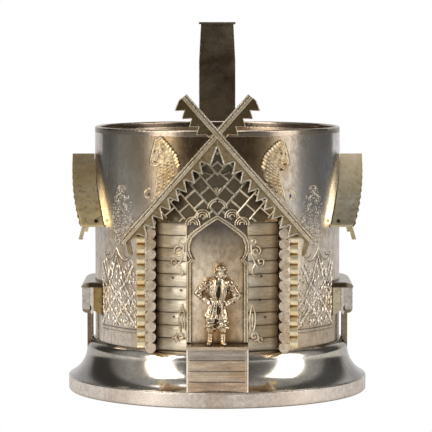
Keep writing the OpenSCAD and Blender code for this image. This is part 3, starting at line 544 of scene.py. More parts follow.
# Windows: below each hood a small glazed box stands off the cup on two posts, with a rounded
# cap, a silver casing and gilt cheeks, all cut from sheet.
# Recesses of the window parts darken over 2 mm, which paints shade under the cap and between the parts.
window_recess = 2
# Painted light: the right cheek is lighter than the left.
cheek_painted_light = (((0.74, 0.64, 0.46), (("across", 0, 1),)),)
# Painted shadow: a dark brown band at the top of the casing, under the cap. The casing is also darker at its
# bottom.
casing_washes = (((0.34, 0.26, 0.17), ((up, 32.2, 32.6),)),
                 ((0.30, 0.23, 0.15), ((down, -25.4, -25),)))
# Painted shadow on the low edge of the cap under its overhang, near black towards the wall.
cap_painted_shade = (((0.40, 0.32, 0.23), ((up, 33.6, 33.0),)),
              ((0.05, 0.035, 0.02), ((up, 33.6, 33.0), (outward, 39.4, 38.2))))
cheek_finish = metal("cheek_gilt", (0.42, 0.29, 0.12), (0.8, 0.7, 0.5), (0.12, 0.07, 0.02), 0.26,
                     patch=80, bumps=0.2, brighten=0.3, washes=cheek_painted_light)
window_silver = metal("window_silver", (0.66, 0.60, 0.54), (0.60, 0.52, 0.42), (0.10, 0.07, 0.045), 0.24,
                      patch=60, bumps=0.2, recess=window_recess, brighten=0.5, washes=casing_washes)
cap_silver = metal("cap_silver", (0.76, 0.69, 0.62), (0.60, 0.52, 0.42), (0.10, 0.07, 0.045), 0.24,
                   patch=60, bumps=0.2, recess=window_recess, brighten=0.4, washes=cap_painted_shade)
for side in ("left", "right"):
    dress(cheek_finish, f"window_cheeks_{side}")
    dress(window_silver, f"window_casing_{side}", f"window_posts_{side}")
    dress(cap_silver, f"window_cap_{side}")


# Horse heads: a pair of chased and gilt heads in low relief on the cup wall, above the two
# slopes of the gable. Each has a notched mane, a rough cheek, a hatched neck and a curl.
buried = -0.05
plate_rise = 0.16
plate_step = 0.7


def on_wall(along, height, rise):
    turn = along / wall_r
    reach = (wall_r + rise) * MM
    return Vector((reach * math.sin(turn), -reach * math.cos(turn), height * MM))


def on_plate(along, height, rise):
    return on_wall(along, height, rise + plate_rise)


def add_ridge(mesh, points, width, rise, place):
    rings = []
    for i, (along, height) in enumerate(points):
        before = points[max(i - 1, 0)]
        after = points[min(i + 1, len(points) - 1)]
        run = Vector((after[0] - before[0], after[1] - before[1])).normalized() * width / 2
        rings.append([mesh.verts.new(place(along - run.y, height + run.x, buried)),
                      mesh.verts.new(place(along, height, rise)),
                      mesh.verts.new(place(along + run.y, height - run.x, buried))])
    for ring, following in zip(rings, rings[1:]):
        for k in range(3):
            mesh.faces.new((ring[k], ring[k - 2], following[k - 2], following[k]))
    mesh.faces.new(rings[0])
    mesh.faces.new(rings[-1])


def add_stroke(mesh, start, end, width, rise, place):
    run = Vector((end[0] - start[0], end[1] - start[1]))
    side = run.normalized() * width / 2
    middle = ((start[0] + end[0]) / 2, (start[1] + end[1]) / 2)
    rim = [mesh.verts.new(place(*start, buried)),
           mesh.verts.new(place(middle[0] - side.y, middle[1] + side.x, buried)),
           mesh.verts.new(place(*end, buried)),
           mesh.verts.new(place(middle[0] + side.y, middle[1] - side.x, buried))]
    peak = mesh.verts.new(place(*middle, rise))
    for k in range(4):
        mesh.faces.new((rim[k], rim[k - 3], peak))
    mesh.faces.new(rim)


def add_plate(mesh, outline, rise, place):
    flat = bmesh.new()
    flat.faces.new([flat.verts.new((*point, 0)) for point in outline])
    bmesh.ops.triangulate(flat, faces=flat.faces)
    low = min(point[0] for point in outline)
    high = max(point[0] for point in outline)
    for k in range(1, math.ceil((high - low) / plate_step)):
        bmesh.ops.bisect_plane(flat, geom=flat.verts[:] + flat.edges[:] + flat.faces[:],
                               plane_co=(low + k * plate_step, 0, 0), plane_no=(1, 0, 0))
    outer = {}
    inner = {}
    for corner in flat.verts:
        outer[corner] = mesh.verts.new(place(corner.co.x, corner.co.y, rise))
        inner[corner] = mesh.verts.new(place(corner.co.x, corner.co.y, buried))
    for face in flat.faces:
        mesh.faces.new([outer[corner] for corner in face.verts])
        mesh.faces.new([inner[corner] for corner in reversed(face.verts)])
    for edge in flat.edges:
        if edge.is_boundary:
            a, b = edge.verts
            mesh.faces.new((outer[a], outer[b], inner[b], inner[a]))
    flat.free()


def between(first, second, share):
    return (first[0] + (second[0] - first[0]) * share, first[1] + (second[1] - first[1]) * share)


def beside(point, out, shift):
    return (point[0] + out * shift[0], point[1] + shift[1])


def walk(points, share):
    spot = share * (len(points) - 1)
    k = min(int(spot), len(points) - 2)
    return between(points[k], points[k + 1], spot - k)


def arc(middle, reach, shrink, start, step, count, out=1):
    points = []
    for k in range(count):
        angle = math.radians(start + step * k)
        size = reach - shrink * k
        points.append((middle[0] + out * size * math.cos(angle), middle[1] + size * math.sin(angle)))
    return points


horse_recess = 0.9
line_recess = 0.3
horse_finish = metal("chased_gilt", (0.36, 0.285, 0.18), (0.60, 0.50, 0.36), (0.07, 0.05, 0.028), 0.36,
                     patch=200, bumps=0.5, recess=horse_recess, brighten=0.5, speckle=0.7)
chased_line = metal("chased_line", (1.0, 0.87, 0.64), (0.8, 0.7, 0.55), (0.10, 0.07, 0.04), 0.34,
                    patch=200, bumps=0.2, recess=line_recess, brighten=0.3, speckle=0.1)
# Dark strokes: engraved cuts and dark seams, and painted shade laid beside raised lines.
dark_cut_and_shade = metal("dark_cut_and_shade", (0.12, 0.095, 0.065), (0.08, 0.06, 0.04), (0.03, 0.02, 0.015), 0.45,
                 bumps=0.2, brighten=0.1)

# A cut has a width and a rise, and a shift goes outwards and up.
mane_teeth = 12
notch_share = 0.6
tooth_tip = (-0.75, 0.35)
notch_shift = (0.25, 0)
tooth_cut = (0.8, 0.24)
gap_share = 0.55
gap_run = ((-0.35, 0.15), (-1.5, 0.6))
gap_cut = (0.85, 0.2)
plate_hidden = 0.6
face_cut = (0.45, 0.14)
face_shade_shift = (0.45, -0.1)
face_shade_cut = (0.3, 0.08)
neck_cut = (0.5, 0.06)
hair_rows = 8
hair_columns = 4
hair_mane_share = 0.62
hair_face_share = 0.8
hair_shift = 0.6
hair_range = (0.35, 0.6)
hair_turns = (0.2, 1.3)
hair_cut = (0.55, 0.14)
eye_shares = (0.28, 0.3)
eye_cut = (1.1, 0.3)
brow_count = 3
brow_start_share = 0.1
brow_end_share = 0.2
brow_step = 0.25
brow_length_share = 0.75
brow_cut = (0.6, 0.16)
mouth_shares = (0.2, 0.8)
mouth_cut = (0.55, 0.18)
hatch_rows = 9
hatch_columns = 4
hatch_mane_share = 0.6
hatch_neck_share = 0.95
hatch_shift = 0.7
hatch_margin = 0.4
hatch_drop = 5
hatch_reach = (0.45, 0.8)
hatch_lift = (0.3, 0.6)
hatch_cut = (0.5, 0.1)
hatch_shade_shifts = ((0.1, -0.45), (0, -0.45))
hatch_shade_cut = (0.4, 0.09)
hook_reach = 1.7
hook_shrink = 0.09
hook_arc = (120, -30, 9)
hook_cut = (0.7, 0.26)
hook_foot = ((-1.9, -1.9), (-0.6, -2.0))
hook_foot_cut = (0.8, 0.2)
hook_shade = ((-0.3, 0.9), (-0.2, -1.0))
hook_shade_cut = (1.3, 0.12)


def mane_edge(out, mane):
    teeth = []
    for k in range(mane_teeth):
        teeth.append(beside(walk(mane, k / mane_teeth), out, tooth_tip))
        teeth.append(beside(walk(mane, (k + notch_share) / mane_teeth), out, notch_shift))
    return teeth


def add_hair(mesh, out, mane, face, rng):
    for row in range(hair_rows):
        share = (row + 0.5) / hair_rows
        for column in range(hair_columns):
            spot = between(walk(mane, share * hair_mane_share), walk(face, share * hair_face_share),
                           (column + hair_shift) / hair_columns)
            size = rng.uniform(*hair_range)
            turn = rng.uniform(*hair_turns)
            step = (size * math.cos(turn), -size * math.sin(turn))
            add_stroke(mesh, beside(spot, out, step), beside(spot, -out, (step[0], -step[1])),
                       *hair_cut, on_plate)


def add_hatching(mesh, cuts, out, mane, neck, rng):
    for row in range(hatch_rows):
        share = row / hatch_rows
        for column in range(hatch_columns):
            mane_share = hatch_mane_share + share * (1 - hatch_mane_share)
            inner = beside(walk(mane, mane_share), out, (0, -share * hatch_drop))
            spot = between(walk(neck, share * hatch_neck_share), inner,
                           (column + hatch_shift) / (hatch_columns + hatch_margin))
            reach = rng.uniform(*hatch_reach)
            lift = rng.uniform(*hatch_lift)
            ends = (beside(spot, out, (reach, -lift)), beside(spot, out, (-reach, lift)))
            add_stroke(mesh, *ends, *hatch_cut, on_plate)
            shade = [beside(end, out, shift) for end, shift in zip(ends, hatch_shade_shifts)]
            add_stroke(cuts, *shade, *hatch_shade_cut, on_plate)


def horse_head(side, mane, face, neck, curl):
    out = -1 if side == "left" else 1
    teeth = mane_edge(out, mane)
    foot = [beside(mane[-1], out, (0, -plate_hidden)), beside(neck[-1], out, (0, -plate_hidden))]
    plate = bmesh.new()
    add_plate(plate, [*foot, *reversed(neck), *reversed(face), *teeth], plate_rise, on_wall)
    add_piece(f"horse_plate_{side}", closed(plate), horse_finish)

    mesh = bmesh.new()
    cuts = bmesh.new()
    rng = random.Random(7)
    add_ridge(mesh, face, *face_cut, on_plate)
    add_ridge(mesh, neck, *neck_cut, on_plate)
    for k in range(mane_teeth - 1):
        add_ridge(mesh, teeth[2 * k:2 * k + 2], *tooth_cut, on_plate)
    add_hair(mesh, out, mane, face, rng)
    eye = [between(face[k + 1], mane[k + 2], share) for k, share in enumerate(eye_shares)]
    add_stroke(mesh, *eye, *eye_cut, on_plate)
    add_hatching(mesh, cuts, out, mane, neck, rng)
    add_ridge(mesh, arc(curl, hook_reach, hook_shrink, *hook_arc, out), *hook_cut, on_wall)
    add_stroke(mesh, *[beside(curl, out, shift) for shift in hook_foot], *hook_foot_cut, on_wall)
    add_piece(f"horse_lines_{side}", closed(mesh), chased_line)

    add_stroke(cuts, *[beside(curl, out, shift) for shift in hook_shade], *hook_shade_cut, on_wall)
    for k in range(brow_count):
        start = between(face[1], mane[2], brow_start_share + k * brow_step)
        end = between(face[2], mane[2], brow_end_share + k * brow_step)
        add_stroke(cuts, start, between(start, end, brow_length_share), *brow_cut, on_plate)
    mouth = [between(face[k + 2], face[5], share) for k, share in enumerate(mouth_shares)]
    add_stroke(cuts, *mouth, *mouth_cut, on_plate)
    add_ridge(cuts, [beside(point, out, face_shade_shift) for point in face[:4]], *face_shade_cut, on_wall)
    for k in range(mane_teeth):
        gap = walk(mane, (k + gap_share) / mane_teeth)
        add_stroke(cuts, *[beside(gap, out, shift) for shift in gap_run], *gap_cut, on_wall)
    add_piece(f"horse_cuts_{side}", closed(cuts), dark_cut_and_shade)


# For each head its side, then the lines of its mane, face and neck, and the middle of its curl.
horse_heads = (
    ("left",
     ((-17.6, 77.5), (-16.1, 76.0), (-14.6, 74.5), (-12.7, 72.2), (-12.1, 70.0), (-11.3, 67.6)),
     ((-18.6, 77.1), (-19.4, 74.4), (-20.4, 70.9), (-20.3, 69.5), (-18.4, 69.2), (-16.8, 70.1)),
     ((-17.5, 68.6), (-18.1, 66.1), (-18.6, 62.8), (-19.3, 59.5)),
     (-21.2, 60.9)),
    ("right",
     ((19.6, 76.2), (18.1, 75.3), (16.2, 73.7), (14.6, 71.9), (13.9, 69.6), (13.4, 67.0)),
     ((20.3, 75.8), (21.2, 73.5), (22.0, 70.2), (22.1, 69.1), (20.6, 67.9), (18.6, 69.3)),
     ((18.9, 67.7), (18.7, 66.0), (19.7, 63.3), (20.7, 59.8)),
     (22.9, 60.4)),
)
for horse in horse_heads:
    horse_head(*horse)


# Window flanges: where a gilt cheek is folded against the casing its edge shows as a narrow
# upright strip, painted bright as a highlight, and a dark line, partly solder and partly painted
# contact shadow, joins the cheek to the cup wall.
cheek_low, cheek_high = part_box("window_cheeks_right")
flange_proud = 0.05
flange_w = 1.1
flange_lift = 0.4
flange_tip = 0.9
flange_out = in_mm(cheek_high.x) + flange_proud
flange_in = flange_out - flange_w
seam_along = 43.7
seam_gap = 0.2
seam_low = in_mm(cheek_low.z)
seam_high = in_mm(cheek_high.z) - seam_gap
seam_cut = (1.3, 0.16)
for out, side in ((-1, "left"), (1, "right")):
    casing_low, casing_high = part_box(f"window_casing_{side}")
    flange_high = in_mm(casing_high.z)
    flange_low = in_mm(casing_low.z) + flange_lift
    flange = ((flange_in, flange_high), (flange_out, flange_high), (flange_out, flange_low),
              ((flange_in + flange_out) / 2, flange_low - flange_tip), (flange_in, flange_low))
    mesh = bmesh.new()
    for facing in (-1, 1):
        add_tube(mesh, [[on_side(out, facing, along, y, z) for along, z in flange]
                        for y in (in_mm(casing_high.y), in_mm(cheek_high.y))])
    add_piece(f"window_flanges_{side}", closed(mesh), edge_wear_and_highlight)
    mesh = bmesh.new()
    add_ridge(mesh, [(out * seam_along, seam_low), (out * seam_along, seam_high)], *seam_cut, on_wall)
    add_piece(f"window_seam_{side}", closed(mesh), dark_cut_and_shade)


# Engraved side panels: bands of cut strokes cross each other above a plain border, with a
# pointed leaf on top and a rough stippled bush above. They lie right and left of the front, and
# again behind.
engraved = metal("bright_cut", (1.0, 0.92, 0.80), (0.9, 0.78, 0.6), (0.2, 0.15, 0.1), 0.34,
                 patch=150, bumps=0.05, recess=line_recess, brighten=0.2)
panel_from = 25.4
panel_width = 18.6
panel_foot = 20.9
border_steps = 24
border_lines = ((0, 0.35), (-1, 0.2))
border_rise = 0.1
border_glint_shift = (0, -0.4)
border_glint_cut = (0.3, 0.1)
band_edge_cut = (0.26, 0.12)
band_stroke_cut = (0.6, 0.12)
band_pitch = 0.74
band_half_share = 0.36
band_lean_share = 0.3
bands = ((((-8.6, 0.9), (-4.6, 5.2), (0, 9.6), (4.4, 13.6), (7.4, 18.6)), 1.5, 1),
         (((8.9, 6.4), (5.4, 10.2), (2.8, 14.6), (0, 21.4)), 1.3, -1),
         (((-1.6, 1.0), (3.2, 5.6), (8.7, 11.2)), 1.2, 1))
curl_middle = (6.4, 19.2)
curl_reach = 1.5
curl_shrink = 0.11
curl_arc = (-60, 30, 11)
curl_cut = (0.4, 0.1)
bow_middle = (5.2, 22.6)
bow_reach = 1.7
bow_arc = (200, 35, 5)
bow_cut = (0.42, 0.1)
bow_stem = ((3.6, 19.6), (5.2, 20.6))
bow_stem_cut = (0.55, 0.06)
side_cuts = 4
side_cut_run = ((8.2, 2.6), (6.6, 4.3))
side_cut_step = (-0.7, 4.2)
side_cut = (0.4, 0.06)
crown_cuts = 3
crown_run = ((1.2, 17.2), (1.9, 19.6))
crown_steps = ((1.5, -1), (1.5, -1.4))
crown_cut = (0.6, 0.2)
leaf = ((0, 23.6), (1.5, 21.6), (3, 20.4), (4.6, 20.1), (6.6, 21.6))
leaf_cut = (0.45, 0.1)
leaf_shade_shift = (0, -0.45)
leaf_shade_cut = (0.3, 0.08)
bold_rows = 11
bold_columns = 9
bold_foot = 1.2
bold_pitch = 1.62
bold_range = (0.2, 0.8)
bold_gap_share = 0.25
bold_reach = (0.55, 1.05)
bold_lean = (0.3, 0.5)
bold_cut = (0.85, 0.26)
bold_shade_shifts = ((-0.5, 0.1), (-0.5, -0.2))
bold_shade_cut = (0.5, 0.14)
stipple_count = 420
stipple_inset = 0.3
stipple_foot = 0.6
stipple_top = 19
stipple_dip = 7
stipple_reach = (0.4, 0.85)
stipple_waves = (1.1, 0.75)
stipple_angle = (0.65, 1.1)
stipple_cut = (0.5, 0.1)
stipple_shade_shift = (0.3, -0.1)
stipple_shade_cut = (0.26, 0.08)
bush_count = 640
bush_middle = 6.5
bush_foot = 45.5
bush_height = 17.5
bush_least_half = 0.8
bush_half = 4.8
bush_bias = 1.1
bush_swell = (0.12, 0.82)
bush_ripple = 0.15
bush_ripples = 19
bush_reach = (0.22, 0.46)
bush_cut = (0.42, 0.1)


def panel_at(side, front):
    out = -1 if side == "left" else 1

    def place(across, height, rise):
        point = on_wall(out * (panel_from + across), height, rise)
        return point if front else Vector((point.x, -point.y, point.z))
    return place


def add_border(mesh, cuts, place):
    for lift, width in border_lines:
        line = [(panel_width * k / border_steps, panel_foot + lift) for k in range(border_steps + 1)]
        add_ridge(cuts, line, width, border_rise, place)
        add_ridge(mesh, [beside(point, 1, border_glint_shift) for point in line], *border_glint_cut, place)


def add_band(mesh, cuts, place, points, width, slant):
    for edge in (-1, 1):
        side_line = []
        for i, point in enumerate(points):
            before = Vector(points[max(i - 1, 0)])
            after = Vector(points[min(i + 1, len(points) - 1)])
            run = (after - before).normalized() * width / 2 * edge
            side_line.append((point[0] - run.y, point[1] + run.x))
        add_ridge(cuts, side_line, *band_edge_cut, place)
    left_over = 0
    for first, second in zip(points, points[1:]):
        run = Vector(second) - Vector(first)
        way = run.normalized()
        across = Vector((-way.y, way.x)) * width * band_half_share
        lean = way * width * band_lean_share * slant
        spot = left_over
        while spot < run.length:
            middle = Vector(first) + way * spot
            add_stroke(mesh, middle - across - lean, middle + across + lean, *band_stroke_cut, place)
            spot += band_pitch
        left_over = spot - run.length


def add_lattice(mesh, cuts, place, mirror):
    def spots(points):
        return [(panel_width / 2 + mirror * across, panel_foot + height) for across, height in points]

    for path, width, slant in bands:
        add_band(mesh, cuts, place, spots(path), width, mirror * slant)
    add_ridge(mesh, spots(arc(curl_middle, curl_reach, curl_shrink, *curl_arc)), *curl_cut, place)
    add_ridge(cuts, spots(arc(bow_middle, bow_reach, 0, *bow_arc)), *bow_cut, place)
    add_stroke(cuts, *spots(bow_stem), *bow_stem_cut, place)
    for k in range(side_cuts):
        run = [(x + k * side_cut_step[0], y + k * side_cut_step[1]) for x, y in side_cut_run]
        add_stroke(cuts, *spots(run), *side_cut, place)
    for k in range(crown_cuts):
        run = [(x + k * step_x, y + k * step_y)
               for (x, y), (step_x, step_y) in zip(crown_run, crown_steps)]
        add_stroke(mesh, *spots(run), *crown_cut, place)
    add_ridge(mesh, spots(leaf), *leaf_cut, place)
    shade = [beside(point, 1, leaf_shade_shift) for point in spots(leaf)]
    add_ridge(cuts, shade, *leaf_shade_cut, place)


def add_bold_strokes(mesh, cuts, place, rng):
    for row in range(bold_rows):
        for column in range(bold_columns):
            across = (column + rng.uniform(*bold_range)) / bold_columns * panel_width
            height = panel_foot + bold_foot + (row + rng.uniform(*bold_range)) * bold_pitch
            if rng.random() < bold_gap_share:
                continue
            reach = rng.uniform(*bold_reach)
            lean = rng.uniform(*bold_lean)
            ends = ((across - reach * lean, height - reach), (across + reach * lean, height + reach))
            add_stroke(mesh, *ends, *bold_cut, place)
            shade = [beside(end, 1, shift) for end, shift in zip(ends, bold_shade_shifts)]
            add_stroke(cuts, *shade, *bold_shade_cut, place)


def add_stipple(mesh, cuts, place, rng):
    for _ in range(stipple_count):
        across = rng.uniform(stipple_inset, panel_width - stipple_inset)
        dip = abs(math.sin(2 * math.pi * (across / panel_width - 0.25))) * rng.random()
        height = panel_foot + rng.uniform(stipple_foot, stipple_top - stipple_dip * dip)
        wave_x, wave_z = stipple_waves
        lean = 1 if math.sin(across * wave_x) * math.sin(height * wave_z) > 0 else -1
        angle = lean * rng.uniform(*stipple_angle)
        size = rng.uniform(*stipple_reach)
        step = (size * math.cos(angle), size * math.sin(angle))
        ends = ((across - step[0], height - step[1]), (across + step[0], height + step[1]))
        add_stroke(mesh, *ends, *stipple_cut, place)
        shade = [beside(end, 1, stipple_shade_shift) for end in ends]
        add_stroke(cuts, *shade, *stipple_shade_cut, place)


def add_bush(mesh, cuts, place, rng):
    for k in range(bush_count):
        rise_share = rng.random() ** bush_bias
        height = bush_foot + bush_height * rise_share
        ripple = 1 - bush_ripple + bush_ripple * math.sin(rise_share * bush_ripples)
        swell = math.sin(math.pi * (bush_swell[0] + bush_swell[1] * rise_share)) * ripple
        half = bush_least_half + bush_half * swell
        across = bush_middle + rng.uniform(-half, half)
        angle = rng.uniform(0, math.pi)
        size = rng.uniform(*bush_reach)
        step = (size * math.cos(angle), size * math.sin(angle))
        add_stroke(cuts if k % 3 == 0 else mesh, (across - step[0], height - step[1]),
                   (across + step[0], height + step[1]), *bush_cut, place)


for side in ("left", "right"):
    for front in (True, False):
        place = panel_at(side, front)
        mesh = bmesh.new()
        cuts = bmesh.new()
        rng = random.Random(3)
        add_border(mesh, cuts, place)
        for mirror in (-1, 1):
            add_lattice(mesh, cuts, place, mirror)
        add_bold_strokes(mesh, cuts, place, rng)
        add_stipple(mesh, cuts, place, rng)
        add_bush(mesh, cuts, place, rng)
        where = f"{side}_{'front' if front else 'back'}"
        add_piece(f"engraving_{where}", closed(mesh), engraved)
        add_piece(f"engraving_cuts_{where}", closed(cuts), dark_cut_and_shade)


# Gable ornament: small arched scales beside the point of the doorway, a pair of short bars
# and a v under the ridge, and a trellis of crossed bars, chased in the gilt panel.
scroll_recess = 0.2
scroll_finish = metal("scroll_gilt", (1.0, 0.90, 0.72), (0.85, 0.75, 0.6), (0.2, 0.15, 0.1), 0.4,
                      patch=120, bumps=0.1, recess=scroll_recess, brighten=0.2)
panel_low, panel_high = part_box("gable_panel")
panel_face_r = -in_mm(panel_low.y)
scale_middles = ((4.3, 54.8), (7.2, 52.6))
scale_reaches = (2.1, 1.4, 0.7)
scale_cut = (0.42, 0.14)
crest_middle = (0, 57.2)
crest_reaches = (2.8, 2.1)
crest_cut = (0.36, 0.12)
short_bar = ((1.0, 66.9), (2.2, 67.1), (3.6, 67.7))
short_bar_cut = (0.55, 0.4)
vee_foot = (0.1, 61.6)
vee_shift = (0.95, 1.6)
vee_cut = (0.42, 0.4)
slope = math.radians(48.6)
ridge_height = in_mm(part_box("roof_slab_left")[1].z)
bar_pitch = 3.9
bar_length = 30
bar_steps = 24
bar_cut = (0.6, 0.2)
bar_lift = 0.3
bar_margin = 0.4
bar_floor = in_mm(panel_low.z) + bar_lift
bar_edge = in_mm(panel_high.x) - bar_margin
door_point = 59.3
door_fall = 0.95
door_half = 8.9
door_shoulder = 52
board_cover = 2.5
run_way = Vector((math.cos(slope), -math.sin(slope)))
under_way = Vector((-math.sin(slope), -math.cos(slope)))


def on_panel(along, height, rise):
    return on_wall(along * wall_r / panel_face_r, height, rise + panel_face_r - wall_r)


def bar_shows(point):
    inside = -bar_edge < point.x < 0 and point.y > bar_floor
    over_door = point.y > door_point + door_fall * point.x
    beside_door = point.x < -door_half or point.y > door_shoulder
    under_board = point.y < ridge_height + point.x * math.tan(slope) - board_cover
    return inside and over_door and beside_door and under_board


def add_bar(mesh, side, start, end):
    line = []
    for k in range(bar_steps + 1):
        point = start.lerp(end, k / bar_steps)
        if bar_shows(point):
            line.append((side * panel_face_r * math.asin(point.x / panel_face_r), point.y))
    if len(line) > 1:
        add_ridge(mesh, line, *bar_cut, on_panel)


mesh = bmesh.new()
for out in (-1, 1):
    for along, height in scale_middles:
        for reach in scale_reaches:
            add_ridge(mesh, arc((out * along, height), reach, 0, -10, 25, 9, out), *scale_cut, on_panel)
    for reach in crest_reaches:
        add_ridge(mesh, arc(crest_middle, reach, 0, 0, 12, 8, out), *crest_cut, on_panel)
    add_ridge(mesh, [(out * along, height) for along, height in short_bar], *short_bar_cut, on_panel)
    add_ridge(mesh, [vee_foot, beside(vee_foot, out, vee_shift)], *vee_cut, on_panel)
for side in (-1, 1):
    for bar in range(5, 9):
        start = Vector((0, ridge_height)) + under_way * bar * bar_pitch
        add_bar(mesh, side, start, start + run_way * bar_length)
    for bar in range(4, 9):
        for cross in range(9):
            along = (cross + bar % 2 / 2) * bar_pitch
            start = Vector((0, ridge_height)) + run_way * along + under_way * bar * bar_pitch
            add_bar(mesh, side, start, start + under_way * bar_pitch)
add_piece("gable_ornament", closed(mesh), scroll_finish)


# Beads of the horns: a thin raised rim round each toothed board above the crossing, worn
# bright along its crest, and painted bright as a highlight.
bead_highlight_finish = metal("bead_gilt", (1.0, 0.88, 0.68), (0.85, 0.75, 0.6), (0.2, 0.14, 0.08), 0.34,
                    patch=160, bumps=0.1, recess=scroll_recess, brighten=0.2)
bead_rise = 0.14
bead_width = 0.3
same_place = 0.001
bead_out = Vector((0, -bead_rise * MM, 0))
mesh = bmesh.new()
for side in ("left", "right"):
    board = bmesh.new()
    board.from_mesh(nodes[f"horn_trim_{side}"].data)
    bmesh.ops.remove_doubles(board, verts=board.verts, dist=same_place * MM)
    board.normal_update()
    for line in board.edges:
        facing = [face for face in line.link_faces if face.normal.y < -0.9]
        if len(facing) != 1 or len(line.link_faces) != 2:
            continue
        start = line.verts[0].co
        end = line.verts[1].co
        across = (end - start).cross(Vector((0, 1, 0))).normalized() * bead_width / 2 * MM
        rings = [[mesh.verts.new(point - across - bead_out), mesh.verts.new(point + bead_out),
                  mesh.verts.new(point + across - bead_out)] for point in (start, end)]
        for k in range(3):
            mesh.faces.new((rings[0][k], rings[0][k - 2], rings[1][k - 2], rings[1][k]))
        mesh.faces.new(rings[0])
        mesh.faces.new(rings[1])
    board.free()
add_piece("horn_beads", closed(mesh), bead_highlight_finish)


# Scrolls, seams and nails of the log front: chased tendrils on each side of the doorway, a dark
# seam between each two courses of logs, which paints the shade in the groove, and a few nail holes.
front_r = -in_mm(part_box("door_frame")[0].y)
scroll_steps = 14
# For each scroll its middle, reach, first angle, turns, how much it tightens, and its width.
scrolls = (((11.4, 44.6), 1.7, 90, -1.3, 0.75, 0.42), ((12.8, 41.6), 1.2, -80, 1.1, 0.7, 0.36),
           ((10.6, 47.6), 1.1, 200, 1.1, 0.7, 0.34), ((10.9, 20.0), 1.5, -100, 1.25, 0.75, 0.40),
           ((12.9, 18.9), 1.0, -60, -1, 0.7, 0.36))
scroll_widening = 1.6
stem_rise = 0.14
stems = ((0.55, ((9.9, 46.6), (10.0, 43.8), (10.9, 41.6), (12.0, 39.8))),
         (0.5, ((11.2, 41.0), (10.3, 39.6), (10.2, 38.2), (11.0, 37.6))),
         (0.55, ((10.7, 21.4), (11.3, 24.2), (11.1, 26.8), (10.2, 29.4))),
         (0.5, ((9.6, 21.6), (9.5, 25.4), (10.2, 29.4))),
         (0.5, ((10.3, 22.6), (10.3, 26.6))))


def on_front(along, height, rise):
    return on_wall(along * wall_r / front_r, height, rise + front_r - wall_r)


mesh = bmesh.new()
for out in (-1, 1):
    for (along, height), reach, start, turns, tighten_share, width in scrolls:
        step = out * turns * 360 / scroll_steps
        line = arc((out * along, height), reach, reach * tighten_share / scroll_steps, start, step,
                   scroll_steps + 1)
        add_ridge(mesh, line, width * scroll_widening, stem_rise, on_front)
    for width, stem in stems:
        add_ridge(mesh, [(out * along, height) for along, height in stem], width, stem_rise, on_front)
add_piece("front_scrolls", closed(mesh), scroll_finish)

log_low, log_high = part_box("log_wall_right")
course_count = 10
course_h = (log_high.z - log_low.z) / course_count / MM
log_seam_out = 0.3
log_seam_r = wall_r + log_seam_out
log_seam_from = 9.4
log_seam_step = 1.1
log_seam_points = 9
log_seam_sway = 0.05
log_seam_cut = (0.34, 0.12)


def on_seam(along, height, rise):
    return on_wall(along * wall_r / log_seam_r, height, rise + log_seam_r - wall_r)


mesh = bmesh.new()
rng = random.Random(5)
for out in (-1, 1):
    for course in range(1, course_count):
        height = log_low.z / MM + course * course_h
        line = []
        for k in range(log_seam_points):
            sway = rng.uniform(-log_seam_sway, log_seam_sway)
            line.append((out * (log_seam_from + log_seam_step * k), height + sway))
        add_ridge(mesh, line, *log_seam_cut, on_seam)
add_piece("log_seams", closed(mesh), dark_cut_and_shade)

nail_r = 0.3
nail_depth = 0.16
nail_rise = 0.02
nail_facets = 12
nail_places = ((-10.7, 33.4), (12.6, 30.5), (-13.2, 36.9), (13.0, 37.4), (-12.9, 25.6), (14.2, 25.4))
mesh = bmesh.new()
for along, height in nail_places:
    turn = Matrix.Rotation(along / front_r, 4, "Z") @ Matrix.Rotation(math.pi / 2, 4, "X")
    bmesh.ops.create_cone(mesh, cap_ends=True, segments=nail_facets, radius1=nail_r * MM,
                          radius2=nail_r * MM, depth=nail_depth * MM,
                          matrix=Matrix.Translation(on_front(along, height, nail_rise)) @ turn)
add_piece("nail_holes", closed(mesh), dark_cut_and_shade)


# Figure: a cast peasant in a fur-brimmed cap, an open caftan with a sash, wide trousers and
# boots, hands on hips. It is made as one casting and pinned to the step. Its sizes are shares
# of its height.
figure_low, figure_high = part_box("peasant_figure")
figure_h = figure_high.z - figure_low.z
figure_foot = Vector((0, (figure_low.y + figure_high.y) / 2, figure_low.z))
blob_shift = 0.3
blob_trim = 0.4
robe_sway = 0.5
robe_drift = 0.3
fold_turn = 1.4
fold_sunk_share = 0.92
fold_reach = (0.3, 0.75)
fold_slant = (-0.3, 0.3)
fold_r_shares = (0.009, 0.012)


def at_figure(place_share):
    return figure_foot + Vector(place_share) * figure_h


def round_way(lift, turn):
    return Vector((math.cos(lift) * math.cos(turn), math.cos(lift) * math.sin(turn), math.sin(lift)))


def add_blob(mesh, centre_share, half_shares, tilt=0, facets=16):
    shape = Matrix.Rotation(math.radians(tilt), 3, "Y") @ Matrix.Diagonal(half_shares)
    centre = at_figure(centre_share)
    levels = facets // 2 + 2
    rings = []
    for level in range(levels):
        lift = math.pi * (level + blob_shift) / (levels - blob_trim) - math.pi / 2
        rings.append([centre + shape @ round_way(lift, 2 * math.pi * k / facets) * figure_h
                      for k in range(facets)])
    add_tube(mesh, rings)


def add_limb(mesh, start_share, start_r_share, end_share, end_r_share, facets=12):
    start = at_figure(start_share)
    end = at_figure(end_share)
    turn = (end - start).to_track_quat("Z", "Y")
    rings = []
    for middle, r_share, lifts in ((start, start_r_share, (-80, -50, -25, 0)),
                                   (end, end_r_share, (0, 25, 50, 80))):
        for lift in lifts:
            rings.append([middle + turn @ round_way(math.radians(lift), 2 * math.pi * k / facets)
                          * r_share * figure_h for k in range(facets)])
    add_tube(mesh, rings)


def add_chain(mesh, place_shares, r_shares):
    for k in range(len(place_shares) - 1):
        add_limb(mesh, place_shares[k], r_shares[k], place_shares[k + 1], r_shares[k + 1], 10)


